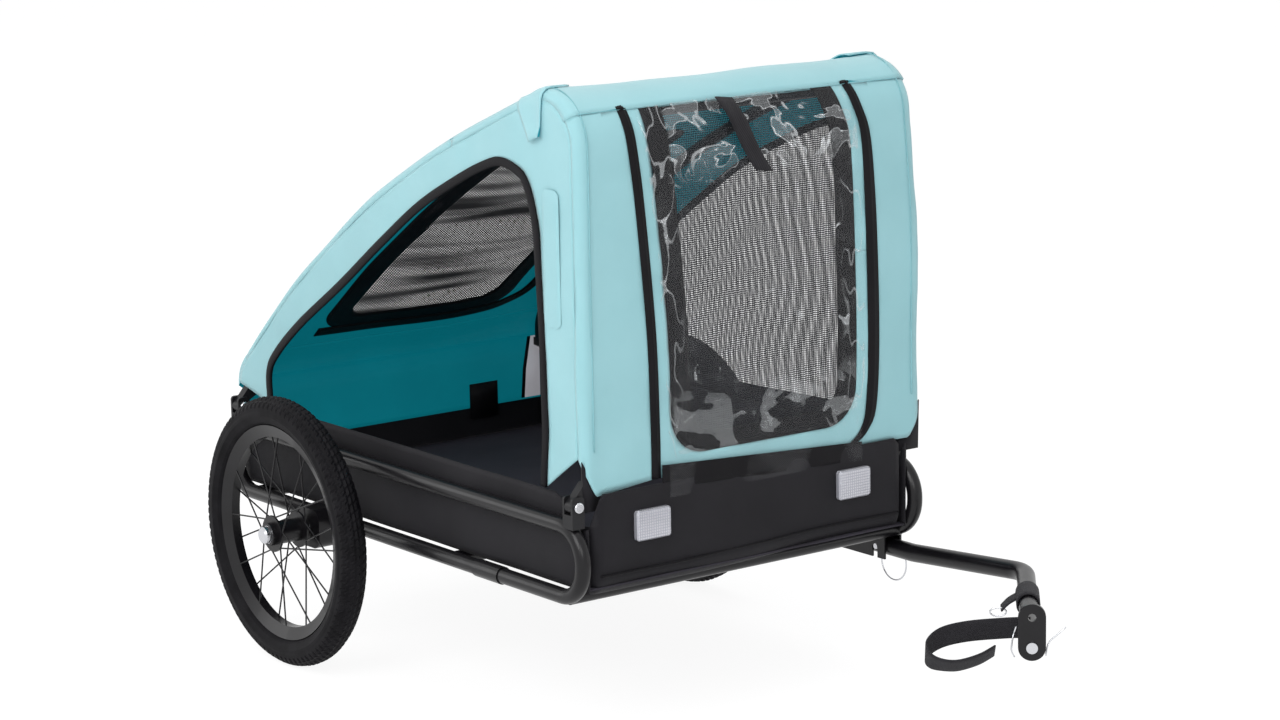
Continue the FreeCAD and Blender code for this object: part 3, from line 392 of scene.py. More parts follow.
def cabin_line(inset):
    """Cabin outline from the front hem over the roof to the rear hem, moved inward by inset."""
    corners = [(CABIN_FRONT - inset, HEM, 0), (CROWN[0] - inset, CROWN[1] - inset * 1.45, CROWN_RADIUS - inset),
               (KNEE[0] + inset * 0.55, KNEE[1] - inset * 1.0, KNEE_RADIUS - inset),
               (SHOULDER[0] + inset, SHOULDER[1] - inset * 0.45, SHOULDER_RADIUS - inset),
               (CABIN_REAR + inset, HEM, 0)]
    return bent_line(corners)


ROUND_LINE = resample(cabin_line(0.0), 700)
ROUND_LENGTH = line_length(ROUND_LINE)
ROUND_REACH = np.linspace(0, ROUND_LENGTH, len(ROUND_LINE))
ROUND_TANGENT = np.gradient(ROUND_LINE, axis=0)
ROUND_TANGENT /= np.linalg.norm(ROUND_TANGENT, axis=1)[:, None]
FLAT_Y = CABIN_SIDE - EDGE_RADIUS
WRAP_Y = FLAT_Y + EDGE_RADIUS * math.pi / 2


def along(reach, table):
    return np.array([np.interp(reach, ROUND_REACH, table[:, k]) for k in range(2)])


def soft_step(value, low, high):
    share = min(max((value - low) / (high - low), 0.0), 1.0)
    return share * share * (3 - 2 * share)


def flare(x, y, z):
    """How far the left front of the cabin stands out over its hinge."""
    return FLARE * soft_step(y, *FLARE_Y) * soft_step(x, *FLARE_X) * (1 - 0.5 * soft_step(z, *FLARE_Z))


def wrap_point(y, reach, lift=0.0):
    """A point on the cloth that runs over the cabin: y across it, reach along it from the front hem."""
    x, z = along(reach, ROUND_LINE)
    tangent = along(reach, ROUND_TANGENT)
    out_x, out_z = tangent[1], -tangent[0]
    over = max(abs(y) - FLAT_Y, 0.0) / EDGE_RADIUS
    down = max(over - math.pi / 2, 0.0) * EDGE_RADIUS
    over = min(over, math.pi / 2)
    radius = EDGE_RADIUS + lift
    drop = lift if over == 0 else radius * math.cos(over) - EDGE_RADIUS - down
    across = min(abs(y), FLAT_Y) + (0 if over == 0 else radius * math.sin(over))
    place = Vector((AXLE_X + x + out_x * drop, math.copysign(across, y), z + out_z * drop))
    place.y += flare(x, place.y, place.z)
    return place


def side_point(side):
    def place(x, z, lift=0.0):
        return Vector((AXLE_X + x, side * (CABIN_SIDE + lift) + flare(x, side * CABIN_SIDE, z), z))
    return place


def reach_at_front(z):
    """Distance along the cloth from the front hem to a height on the front face."""
    front = ROUND_LINE[:, 0] > CROWN[0] - CROWN_RADIUS
    return float(np.interp(z, ROUND_LINE[front][:, 1], ROUND_REACH[front]))


def ripple(u, v, seed, scale, height):
    return height * noise.noise(Vector((u * scale, v * scale, seed)))


# Making pieces

FLAT = {}


def flat_cut(faces, cloth_uv):
    """Width, length and area of a sheet in its own cloth coordinates."""
    spots = np.array(cloth_uv)
    width, length = spots.max(axis=0) - spots.min(axis=0)
    area = 0.0
    for face in faces:
        u, v = spots[list(face)].T
        area += abs(u @ np.roll(v, -1) - v @ np.roll(u, -1)) / 2
    return float(width), float(length), float(area)


def piece(name, points, faces, material, cloth_uv=None, smooth=True):
    mesh = bpy.data.meshes.new(name)
    mesh.from_pydata([tuple(p) for p in points], [], faces)
    made = bpy.data.objects.new(name, mesh)
    bpy.context.scene.collection.objects.link(made)
    for entry in material if isinstance(material, (list, tuple)) else [material]:
        mesh.materials.append(MATERIALS[entry])
    if cloth_uv is not None:
        FLAT[name] = flat_cut(faces, cloth_uv)
        layer = mesh.uv_layers.new(name="cloth")
        for loop in mesh.loops:
            layer.data[loop.index].uv = cloth_uv[loop.vertex_index]
    mesh.polygons.foreach_set("use_smooth", [smooth] * len(mesh.polygons))
    mesh.update()
    return made


def grid_faces(rows, width, first=0, flip=False, turned=False):
    """Four-sided faces between rows of corners, each row being width corners long."""
    faces = []
    for row in range(rows):
        for column in range(width - 1):
            a = first + row * width + column
            b = a + width
            face = (a, b, b + 1, a + 1) if turned else (a, a + 1, b + 1, b)
            faces.append(face[::-1] if flip else face)
    return faces


def grid_piece(name, rows, columns, spot, material, flip=False, turned=False):
    """A sheet of rows and columns; spot gives each corner's place and its cloth coordinates."""
    corners = [spot(row, column) for row in range(rows + 1) for column in range(columns + 1)]
    places, uvs = zip(*corners)
    return piece(name, places, grid_faces(rows, columns + 1, 0, flip, turned), material, uvs)


def solidify(made, thickness, lining=False, offset=-1.0):
    """Give a sheet its thickness; with a lining, its inner face takes the second material."""
    shell = made.modifiers.new("thickness", "SOLIDIFY")
    shell.thickness = thickness
    shell.offset = offset
    if lining:
        shell.material_offset = 1
    bake(made)


def lined(made):
    solidify(made, CLOTH, lining=True)
    return made


def trimmed(made, thickness=0.0015, folds=True):
    """Black webbing or binding: its thickness, then its place on the chassis."""
    solidify(made, thickness, offset=0.0)
    return dress(made, folds=folds)


def bake(made):
    graph = bpy.context.evaluated_depsgraph_get()
    flat = bpy.data.meshes.new_from_object(made.evaluated_get(graph))
    made.modifiers.clear()
    old = made.data
    made.data = flat
    bpy.data.meshes.remove(old)


def dress(made, body="chassis", nodes=(), folds=False):
    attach(made, body)
    if nodes:
        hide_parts(*nodes)
    if folds:
        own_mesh(made)
    return made


def cut_cloth(made, nodes=(), folds=True, run=None):
    """Dress a sheet and work out the size it was cut to, which is not kept or shown; one that runs round an opening is
    sized as a band.
    """
    dress(made, nodes=nodes, folds=folds)
    width, length, area = FLAT[made.name]
    if run:
        width, length = area / run, run
    return made


def strip(name, outer, inner, rows, place, material, lift=None, flip=False):
    """A sheet between two lines of equal count, placed on a surface."""
    def spot(row, index):
        t = row / rows
        u, v = outer[index] * (1 - t) + inner[index] * t
        return place(u, v, lift(u, v, t) if lift else 0.0), (u, v)
    return grid_piece(name, rows, len(outer) - 1, spot, material, flip)


def closed(line):
    return np.vstack([line, line[:1]])


def ray_hit(line, centre, angle):
    """Where a ray from a centre meets a closed line."""
    heading = np.array([math.cos(angle), math.sin(angle)])
    best = None
    for start, end in zip(line, np.roll(line, -1, axis=0)):
        edge = end - start
        cross = heading[0] * edge[1] - heading[1] * edge[0]
        if abs(cross) < 1e-12:
            continue
        gap = start - centre
        reach = (gap[0] * edge[1] - gap[1] * edge[0]) / cross
        share = (gap[0] * heading[1] - gap[1] * heading[0]) / cross
        if reach > 0 and -1e-9 <= share <= 1 + 1e-9 and (best is None or reach > best):
            best = reach
    return centre + heading * best


def matched(outer, inner, count):
    """Points of two closed lines on the same rays, with the outer line's corners kept."""
    centre = inner.mean(axis=0)
    angles = [2 * math.pi * index / count for index in range(count)]
    angles += [math.atan2(*(corner - centre)[::-1]) % (2 * math.pi) for corner in outer]
    angles = sorted(angles)
    outside = np.array([ray_hit(outer, centre, angle) for angle in angles])
    inside = np.array([ray_hit(inner, centre, angle) for angle in angles])
    return outside, inside


def rounded_box(low, high, radius, count=10):
    """A closed rounded rectangle in two coordinates."""
    spots = []
    for cx, cy, turn in ((high[0] - radius, high[1] - radius, 0), (low[0] + radius, high[1] - radius, 1),
                         (low[0] + radius, low[1] + radius, 2), (high[0] - radius, low[1] + radius, 3)):
        for index in range(count + 1):
            angle = (turn + index / count) * math.pi / 2
            spots.append((cx + radius * math.cos(angle), cy + radius * math.sin(angle)))
    return np.array(spots)


def cord_mesh(name, points, radius, material, sides=8, loop=False):
    """A round trim along points in space."""
    points = [Vector(p) for p in points]
    count = len(points)
    rings, faces = [], []
    side = None
    for index, point in enumerate(points):
        ahead = points[(index + 1) % count] if loop or index < count - 1 else point
        behind = points[index - 1] if loop or index > 0 else point
        heading = (ahead - behind).normalized()
        side = side or heading.orthogonal().normalized()
        side = (side - heading * side.dot(heading)).normalized()
        other = heading.cross(side)
        for turn in range(sides):
            angle = 2 * math.pi * turn / sides
            rings.append(point + (side * math.cos(angle) + other * math.sin(angle)) * radius)
    for index in range(count if loop else count - 1):
        here, there = index * sides, (index + 1) % count * sides
        for turn in range(sides):
            after = (turn + 1) % sides
            faces.append((here + turn, here + after, there + after, there + turn))
    if not loop:
        faces.append(tuple(range(sides))[::-1])
        faces.append(tuple(range((count - 1) * sides, count * sides)))
    uvs = [((i // sides) * radius, (i % sides) * radius) for i in range(len(rings))]
    return piece(name, rings, faces, material, uvs)


# The cloth that runs over the cabin: front cover, hood seam, roof and rear wall

HOOD = reach_at_front(0.862)
REAR_HEM = ROUND_LENGTH
NOTCH = 0.052


def reach_on_roof(x):
    """Distance along the cloth to a place on the roof or rear slope."""
    roof = ROUND_REACH > HOOD
    return float(np.interp(-x, -ROUND_LINE[roof][:, 0], ROUND_REACH[roof]))


def flat_ring(name, outer, inner, rows, place, material, lift=None, count=150):
    outside, inside = matched(np.array(outer), np.array(inner), count)
    return strip(name, closed(outside), closed(inside), rows, place, material, lift)


def filled(name, line, rows, place, material, lift=None, count=120):
    """A sheet that fills a closed line."""
    centre = np.array(line).mean(axis=0)
    outside = closed(np.array([ray_hit(np.array(line), centre, 2 * math.pi * i / count) for i in range(count)]))
    inside = outside * 0.004 + centre * 0.996
    return strip(name, outside, inside, rows, place, material, lift)


def front_line(points):
    """Points of (y, z) on the front face as (y, reach)."""
    return np.array([(y, reach_at_front(z)) for y, z in points])


ZIP_STEPS = 60
BAND_ROWS = 26
HEM_CORNER = 0.262
ZIP_R = resample(smooth_line(front_line(ZIP_RIGHT)), ZIP_STEPS)
ZIP_L = resample(smooth_line(front_line(ZIP_LEFT)), ZIP_STEPS)
ZIP_R[-1][1] = HOOD
ZIP_L[-1][1] = HOOD


def cloth_lift(seed, scale=9.0, height=0.0028):
    def lift(u, v, t):
        return ripple(u, v, seed, scale, height) + ripple(u, v, seed + 3, scale * 3, height * 0.25)
    return lift


def front_bands():
    """The aqua front on both sides of the zips, running round the cabin corners."""
    halves = []
    for (side, tag), zip_line in zip(SIDES, (ZIP_R, ZIP_L)):
        outline = resample(np.array([(side * WRAP_Y, NOTCH), (side * WRAP_Y, HOOD)]), ZIP_STEPS)
        foot = (side * abs(zip_line[0][0]), zip_line[0][1])
        bottom = resample(np.array([foot, (side * HEM_CORNER, 0.0), (side * WRAP_Y, NOTCH)]), BAND_ROWS + 1)
        lift = cloth_lift(11 + side)

        def spot(row, index):
            t, s = row / BAND_ROWS, index / (ZIP_STEPS - 1)
            straight = zip_line[index] * (1 - t) + outline[index] * t
            base = zip_line[0] * (1 - t) + outline[0] * t
            y, reach = straight + (bottom[row] - base) * (1 - s) ** 3
            place = wrap_point(y, max(reach, 0.0), lift(y, reach, t))
            return place, (y + flare(CABIN_FRONT, y, place.z), reach)
        halves.append(lined(grid_piece("front_cover_" + tag, BAND_ROWS, ZIP_STEPS - 1, spot, LINED, side < 0, True)))
    return halves


front_pieces = front_bands()
for made, arch in zip(front_pieces, ("arch_tube_right", "arch_tube_left")):
    cut_cloth(made, ["front_cover"])

REAR_LOW_X, REAR_HIGH_X = (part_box("rear_mesh")[k][0] - AXLE_X for k in (0, 1))
REAR_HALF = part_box("rear_mesh")[1][1]
REAR_WINDOW = rounded_box((-REAR_HALF, reach_on_roof(REAR_HIGH_X)), (REAR_HALF, reach_on_roof(REAR_LOW_X)), 0.045)
ROOF_SAG = 0.026


def roof_sag(u, v):
    """The slack roof hangs between the arches, most in the middle of the rear slope."""
    along_slope = (v - HOOD) / (REAR_HEM - HOOD)
    return -ROOF_SAG * max(0.0, 1 - (u / FLAT_Y) ** 2) * math.sin(math.pi * min(max(along_slope, 0), 1)) ** 1.5


def roof_lift(u, v, t):
    over_hood = 0.0022 * max(0.0, 1 - (v - HOOD) / 0.05)
    return ripple(u, v, 5, 7.0, 0.003) + over_hood + roof_sag(u, v)


REAR_NOTCH = 0.024
NOTCH_FROM = 0.255
WINDOW_MARGIN = 0.05


def roof_piece():
    """Roof and rear wall in one cloth, laid out in rows so that it follows every bend."""
    columns, depth = 60, 16
    low_ring, high_ring = REAR_WINDOW[:, 1].min() - WINDOW_MARGIN, REAR_WINDOW[:, 1].max() + WINDOW_MARGIN
    points, uvs, faces = [], [], []

    def add(rows, width, spot):
        faces.extend(grid_faces(rows, width, len(points)))
        for row in range(rows + 1):
            for index in range(width):
                y, reach = spot(row, index)
                points.append(wrap_point(y, reach, roof_lift(y, reach, 0)))
                uvs.append((y, reach))

    for low, high in ((HOOD, low_ring), (high_ring, REAR_HEM)):
        count = max(int((high - low) / 0.008), 8)

        def spot(row, column):
            y = -WRAP_Y + 2 * WRAP_Y * column / columns
            notch = REAR_NOTCH * max(0.0, abs(y) - NOTCH_FROM) / (WRAP_Y - NOTCH_FROM)
            return y, min(low + (high - low) * row / count, REAR_HEM - notch)
        add(count, columns + 1, spot)
    frame_line = np.array([(-WRAP_Y, low_ring), (WRAP_Y, low_ring), (WRAP_Y, high_ring), (-WRAP_Y, high_ring)])
    outside, inside = (closed(line) for line in matched(frame_line, REAR_WINDOW, 220))
    add(depth, len(outside), lambda row, index: outside[index] * (1 - row / depth) + inside[index] * (row / depth))
    return lined(piece("roof_cover_cloth", points, faces, LINED, uvs))


roof = cut_cloth(roof_piece(), ["roof_cover"])

# Side covers with their doorways


def side_outline():
    outline = cabin_line(EDGE_RADIUS)[::-1]
    keep = [(outline[0][0], HEM + 0.022)] + [tuple(p) for p in outline if p[1] > HEM + REAR_NOTCH]
    keep = [p for p in keep if not (p[0] > 0.5 and p[1] < HEM + NOTCH)]
    keep.append((CABIN_FRONT - EDGE_RADIUS, HEM + NOTCH))
    return resample(np.array(keep), 220)


DOOR_LINE = resample(smooth_line(DOOR), 220)
SIDE_LINE = side_outline()
RING_RUN = line_length((SIDE_LINE + DOOR_LINE) / 2)


def side_cover(side, tag, seed):
    made = strip("side_cover_%s_cloth" % tag, SIDE_LINE, DOOR_LINE, 14, side_point(side), LINED,
                 cloth_lift(seed, 8.0, 0.003), flip=side < 0)
    return cut_cloth(lined(made), ["side_cover_" + tag], run=RING_RUN)


side_cover(-1, "right", 21)
side_left = side_cover(1, "left", 27)


def inset_line(line, distance):
    """An open line moved to its right-hand side."""
    tangent = np.gradient(line, axis=0)
    tangent /= np.linalg.norm(tangent, axis=1)[:, None]
    return line + np.stack([tangent[:, 1], -tangent[:, 0]], axis=1) * distance


def band(name, line, width, place, lift, thickness=0.002, rise=0.0, flip=False):
    """A flat black band sewn on beside an open line; a rise makes its middle proud."""
    inner = inset_line(line, width)

    def height(u, v, t):
        return lift + rise * math.sin(math.pi * t)
    trimmed(strip(name, line, inner, 4, place, "black_trim", height, flip=flip), thickness)


for side, tag in SIDES:
    band("doorway_piping_" + tag, inset_line(DOOR_LINE, -0.002), 0.012, side_point(side), 0.0005, 0.004, 0.001,
         flip=side > 0)

# Net and sill of the left window


def net_lift(seed, height):
    def lift(u, v, t):
        return -0.001 + ripple(u, v, seed, 6.0, height)
    return lift


left_net = filled("left_window_net", inset_line(DOOR_LINE, 0.004), 24, side_point(1), "net", net_lift(31, 0.004), 160)
cut_cloth(left_net, ["side_mesh_left"])
SILL_TOP, SILL_DEPTH = 0.372, 0.036
band("left_window_sill", resample(np.array([(DOOR[0][0], SILL_TOP), (DOOR[-1][0], SILL_TOP)]), 60), SILL_DEPTH,
     side_point(1), 0.0005, flip=True)

# Front window: aqua strips inside the zips, black-bordered net and clear flap

WINDOW_LOW = reach_at_front(0.386)


def window_line(inset, low, radius=0.055):
    """The window outline inside the zips: straight up its sides, round at its lower corners."""
    halves = []
    for zip_line, side in ((ZIP_L, 1), (ZIP_R, -1)):
        edge = np.array([(y - side * inset, r) for y, r in zip_line if r > low])
        y_low = float(np.interp(low + radius, edge[:, 1], edge[:, 0]))
        edge = edge[edge[:, 1] > low + radius]
        corner = [(y_low - side * radius * (1 - math.cos(a)), low + radius * (1 - math.sin(a)))
                  for a in np.linspace(math.pi / 2, 0, 9)]
        halves.append(corner + edge.tolist() + [(edge[-1][0], HOOD)])
    return np.array(halves[0] + halves[1][::-1])


WINDOW_INSET = 0.028
TRIM_WIDTH, TRIM_FOOT, TRIM_RADIUS = 0.033, 0.026, 0.040
WINDOW = window_line(WINDOW_INSET, WINDOW_LOW)

# Aqua border between the zips and the window.
border = lined(flat_ring("front_window_border", np.vstack([ZIP_L, ZIP_R[::-1]]), WINDOW, 6, wrap_point, LINED,
                         cloth_lift(41, 16.0, 0.0025), 260))
cut_cloth(border, run=line_length(WINDOW))
front_net = filled("front_window_net", WINDOW, 26, wrap_point, "net", net_lift(47, 0.003), 160)
cut_cloth(front_net, ["front_mesh"])
front_opening = window_line(WINDOW_INSET + TRIM_WIDTH, WINDOW_LOW + TRIM_FOOT, TRIM_RADIUS)
trimmed(flat_ring("front_window_trim", WINDOW, front_opening, 4, wrap_point, "black_trim", lambda u, v, t: 0.0008, 260))

for zip_line, tag in ((ZIP_R, "right"), (ZIP_L, "left")):
    shifted = zip_line.copy()
    shifted[:, 0] -= ZIP_WIDTH / 2
    made = strip("zip_%s" % tag, shifted, shifted + np.array([ZIP_WIDTH, 0.0]), 6, wrap_point, "black_trim",
                 lambda u, v, t: 0.0022 + 0.0022 * math.exp(-((t - 0.5) / 0.16) ** 2), flip=True)
    solidify(made, ZIP_TAPE)
    dress(made, folds=True)


def film_lift(u, v, t):
    wave = 0.004 * math.sin(u * 38 + 4 * noise.noise(Vector((u * 5, v * 4, 2.0))))
    return 0.0062 + wave * 0.5 + ripple(u, v, 53, 11.0, 0.004)


FLAP_LOW = -0.018
FLAP_INSET = 0.017


def rain_flap():
    """Clear flap inside the zips, its foot hanging a little below the hem."""
    columns, rows = 50, 80

    def spot(row, column):
        reach = FLAP_LOW + (HOOD - FLAP_LOW) * row / rows
        level = max(reach, WINDOW_LOW)
        left = float(np.interp(level, ZIP_L[:, 1], ZIP_L[:, 0])) - FLAP_INSET
        right = float(np.interp(level, ZIP_R[:, 1], ZIP_R[:, 0])) + FLAP_INSET
        y = right + (left - right) * column / columns
        place = wrap_point(y, max(reach, 0.0), film_lift(y, reach, 0))
        place.z += min(reach, 0.0)
        return place, (y, reach)
    made = grid_piece("rain_flap_film", rows, columns, spot, "film", True, True)
    solidify(made, FILM)
    return made


cut_cloth(rain_flap(), ["rain_flap"])


def hem_point(y, drop, lift=0.0):
    """A place on the front just below the hem."""
    return Vector((AXLE_X + CABIN_FRONT + 0.0052 + lift, y, HEM + drop))


HEM_BAND = resample(np.array([(-0.156, 0.028), (0.196, 0.008)]), 40)
HEM_BAND_FOOT = resample(np.array([(-0.156, -0.004), (0.196, -0.018)]), 40)
foot_band = strip("front_hem_band", HEM_BAND, HEM_BAND_FOOT, 5, hem_point, "black_trim",
                  lambda u, v, t: 0.0012 * math.sin(u * 60) * t)
trimmed(foot_band, folds=False)

# Rear window: net with its folds and a broad black border


def rear_lift(u, v, t):
    return roof_sag(u, v) - 0.0025 + ripple(u, v, 61, 5.0, 0.006)


rear_net = filled("rear_window_net", REAR_WINDOW, 26, wrap_point, "net_dense", rear_lift, 160)
cut_cloth(rear_net, ["rear_mesh"])
REAR_LAP = 0.008
for tag, lift, width in (("inner", -0.0036, 0.036), ("outer", 0.0012, 0.014)):
    low, high = REAR_WINDOW.min(axis=0) - REAR_LAP, REAR_WINDOW.max(axis=0) + REAR_LAP
    grown = rounded_box(low, high, 0.05)
    opening = rounded_box(low + width, high - width, 0.035)
    trim = flat_ring("rear_window_trim_" + tag, grown, opening, 4, wrap_point, "black_trim",
                     lambda u, v, t, h=lift: h + roof_lift(u, v, t), 220)
    trimmed(trim)


def wall_band():
    """Black binding on the rear wall below its window, turning up at the far end."""
    low = REAR_WINDOW[:, 1].max() + 0.026
    line = [(-0.172, low - 0.004), (-0.05, low - 0.003), (0.12, low - 0.002), (0.185, low - 0.020), (0.218, low - 0.06),
            (0.226, low - 0.16)]
    band("rear_wall_binding", resample(smooth_line(line), 60), 0.021,
         lambda u, v, lift: wrap_point(u, v, lift + roof_lift(u, v, 0)), -0.0042, 0.0015)


wall_band()

# Corner flaps, stitched seams, the welt beside the doorway and the roll-up strap

CORNER_X = (0.561, 0.503)
CORNER_LAP, CORNER_WIDTH, CORNER_TAPER = 0.030, 0.100, 0.012


def corner_flap(side, tag):
    """A hook-and-loop flap that laps from the hood over the cabin edge."""
    low, high = (reach_on_roof(x) for x in CORNER_X)
    rows, columns = 14, 12

    def spot(row, column):
        across, share = row / rows, column / columns
        y = side * (FLAT_Y - CORNER_LAP + CORNER_WIDTH * across)
        narrow = CORNER_TAPER * max(0.0, across - 0.55) / 0.45
        reach = low + narrow + (high - low - 2 * narrow) * share
        free = max(0.0, across - 0.5) * 2
        lift = 0.0026 + 0.005 * free ** 2 + 0.001 * math.sin(share * 5 + across * 4)
        return wrap_point(y, reach, lift), (y, reach)
    return lined(grid_piece("corner_flap_" + tag, rows, columns, spot, LINED, side > 0))


for side, tag in SIDES:
    cut_cloth(corner_flap(side, tag), ["corner_flaps"])


def seam(name, coordinates, radius=0.0009, lift=0.0012):
    """A stitched ridge on the cloth that runs over the cabin."""
    line = [wrap_point(u, v, lift) for u, v in coordinates]
    dress(cord_mesh(name, line, radius, "aqua_deep", 6), folds=True)


for side, tag in SIDES:
    edge = [(side * (FLAT_Y - 0.003), reach) for reach in np.linspace(NOTCH + 0.01, REAR_HEM - 0.03, 240)]
    seam("edge_seam_" + tag, edge)
seam("hood_seam", [(y, HOOD + 0.0005) for y in np.linspace(-FLAT_Y, FLAT_Y, 80)], 0.0012, 0.0014)

WELT = rounded_box((0.557, 0.574), (0.594, 0.760), 0.004, 3)
welt = filled("side_welt", WELT, 5, side_point(-1), "aqua", lambda u, v, t: 0.0016 + 0.0016 * min(1.0, t * 4), 60)
dress(welt, folds=True)


def ribbon(name, spine, widths, thickness, material):
    """Webbing along points in space; widths are half-width vectors."""
    spine = [Vector(place) for place in spine]
    reach = np.cumsum([0.0] + [(b - a).length for a, b in zip(spine, spine[1:])])

    def spot(index, lane):
        across = lane / 2 - 1
        arm = Vector(widths[index])
        return spine[index] + arm * across, (across * arm.length, reach[index])
    made = grid_piece(name, len(spine) - 1, 4, spot, material)
    solidify(made, thickness, offset=0.0)
    return made


def roll_strap():
    spine, arms = [], []
    for t in np.linspace(0, 1, 16):
        reach = HOOD - 0.004 - 0.100 * t
        y = -0.036 + 0.058 * t ** 1.2
        spine.append(wrap_point(y, reach, 0.0125 + 0.002 * math.sin(t * 6)))
        arms.append((0.0, STRAP_HALF, -0.002))
    return ribbon("roll_up_strap_webbing", spine, arms, 0.002, "webbing")


dress(roll_strap(), nodes=["roll_up_strap"], folds=True)

# Black tub

FOOT_NOTCH = 0.044
FOOT_WIDTH = 0.034
FOOT_HALF = 0.012


def tub_panel(name, corner, across, up, rows, columns, seed, sag, node, material="black_cloth",
              feet=()):
    """A cloth panel from a corner along two edges, with soft folds."""
    corner, across, up = Vector(corner), Vector(across), Vector(up)
    out = across.cross(up).normalized()

    def place(row, column):
        u, v = column / columns, row / rows
        edge = math.sin(math.pi * u) * math.sin(math.pi * v)
        fold = ripple(u * across.length, v * up.length, seed, 9.0, sag) * (0.35 + edge)
        spot = corner + across * u + up * v + out * fold
        spot.z -= v * sum(FOOT_NOTCH * math.exp(-((spot.x - foot) / FOOT_WIDTH) ** 4) for foot in feet)
        return spot, (u * across.length, v * up.length)
    made = grid_piece(name, rows, columns, place, material)
    solidify(made, TUB_CLOTH)
    cut_cloth(made, [node], False)


def from_box(name):
    low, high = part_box(name)
    return Vector(low), Vector(high)


def foot_places(name):
    low, high = from_box(name)
    return low.x + FOOT_HALF, high.x - FOOT_HALF


for side, tag in SIDES:
    low, high = from_box("tub_side_" + tag)
    start = (low.x, low.y, low.z) if side < 0 else (high.x, high.y, low.z)
    tub_panel("tub_side_%s_cloth" % tag, start, (side * (low.x - high.x), 0, 0), (0, 0, high.z - low.z), 14, 60,
              71 + side, 0.003, "tub_side_" + tag, feet=foot_places("arch_feet_" + tag))


CORNER_TURN = 0.018
CORNER_DEPTH = 0.034
FRONT_LAP = 0.004


def tub_front():
    """Front of the tub: a flat face with a sewn hem that turns under towards the floor."""
    low, high = from_box("tub_front")
    high.z += FRONT_LAP
    profile = smooth_line([(0.0, high.z), (0.0005, 0.320), (0.001, 0.280), (0.0, 0.246), (-0.001, 0.236),
                           (-0.006, 0.225), (-0.016, 0.2165), (-0.034, low.z + 0.002)], 0.005)
    reach = np.cumsum([0.0] + np.linalg.norm(np.diff(profile, axis=0), axis=1).tolist())
    columns = 70

    def spot(row, column):
        depth, z = profile[row]
        y = low.y + (high.y - low.y) * column / columns
        slack = ripple(y, z, 79, 7.0, 0.004) + 0.003 * math.sin(y * 17 + 1) * max(0.0, (0.25 - z) / 0.04)
        settle = min(1.0, (high.y - abs(y)) / 0.03)
        turn = max(0.0, (abs(y) - high.y) / CORNER_TURN + 1)
        cut = min(z, high.z - FOOT_NOTCH * min(1.0, turn * 2))
        return (high.x + depth + slack * settle * 0.6 - CORNER_DEPTH * turn ** 2, y,
                cut + 0.004 * math.sin(y * 9) * (z < 0.24)), (y, reach[row])
    made = grid_piece("tub_front_cloth", len(profile) - 1, columns, spot, "black_cloth", turned=True)
    solidify(made, TUB_CLOTH)
    cut_cloth(made, ["tub_front"], False)
    hem = [(high.x + 0.0014 + 0.0006 * math.sin(y * 40), y, 0.243 + 0.003 * math.sin(y * 9))
           for y in np.linspace(low.y + CORNER_TURN, high.y - CORNER_TURN, 90)]
    dress(cord_mesh("tub_front_hem", hem, 0.0016, "black_trim", 8))


tub_front()
low, high = from_box("tub_rear")
tub_panel("tub_rear_cloth", (low.x, high.y, low.z), (0, low.y - high.y, 0), (0, 0, high.z - low.z), 16, 50, 83,
          0.0022, "tub_rear")
low, high = from_box("floor_panel")
tub_panel("floor_cloth_sheet", (low.x, low.y, high.z), (high.x - low.x, 0, 0), (0, high.y - low.y, 0), 30, 40, 89,
          0.002, "floor_panel", "floor_cloth")


LINING_LOW = 0.272
LINING_HALF = 0.272
TUB_REAR_INSIDE = from_box("tub_rear")[1].x


def rear_lining():
    """Teal inside of the rear wall, running down before the tub's rear and closing its hem."""
    inside = TUB_REAR_INSIDE + 0.0008
    columns, rows = 60, 14

    def spot(row, column):
        y = -LINING_HALF + 2 * LINING_HALF * column / columns
        z = LINING_LOW + (HEM + REAR_NOTCH - LINING_LOW) * (row / rows)
        x = inside + (AXLE_X + CABIN_REAR + 0.006 - inside) * min(1.0, max(0.0, z - HEM) / 0.022)
        return (x, y, z), (y, z)
    made = grid_piece("rear_wall_lining", rows, columns, spot, "teal")
    solidify(made, 0.0008, offset=1.0)
    return made


lining = cut_cloth(rear_lining(), folds=False)

# Net let into the far rear corner, with its bound edge; its pale colour and glow are painted daylight seen through it.
CORNER_FAR = 0.271
CORNER_EDGE = [(0.240, 0.275), (0.244, 0.322), (0.254, 0.374)]
corner_place = TUB_REAR_INSIDE + 0.0022
corner_uv = CORNER_EDGE + [(CORNER_FAR, z) for y, z in CORNER_EDGE]
corner_net = piece("rear_corner_net", [(corner_place, y, z) for y, z in corner_uv], [(0, 1, 4, 3), (1, 2, 5, 4)],
                   "pale_net", corner_uv)
solidify(corner_net, 0.0006)
cut_cloth(corner_net, folds=False)
corner_bind = strip("rear_corner_binding", np.array(CORNER_EDGE) - np.array([0.006, 0.0]), np.array(CORNER_EDGE), 2,
                    lambda y, z, lift: Vector((corner_place + 0.0006, y, z)), "black_trim")
trimmed(corner_bind, 0.0008, folds=False)

# Black gussets under the notches of the front corners.
GUSSET = [(0.245, 0.330), (0.281, 0.330), (0.283, 0.400), (0.256, 0.352)]
for side, tag in SIDES:
    spots = [(side * y + flare(CABIN_FRONT, side * y, z), z) for y, z in GUSSET]
    gusset = piece("corner_gusset_" + tag, [(AXLE_X + CABIN_FRONT - 0.006, y, z) for y, z in spots],
                   [(0, 1, 2, 3)], "black_cloth", spots)
    solidify(gusset, 0.002)
    cut_cloth(gusset)

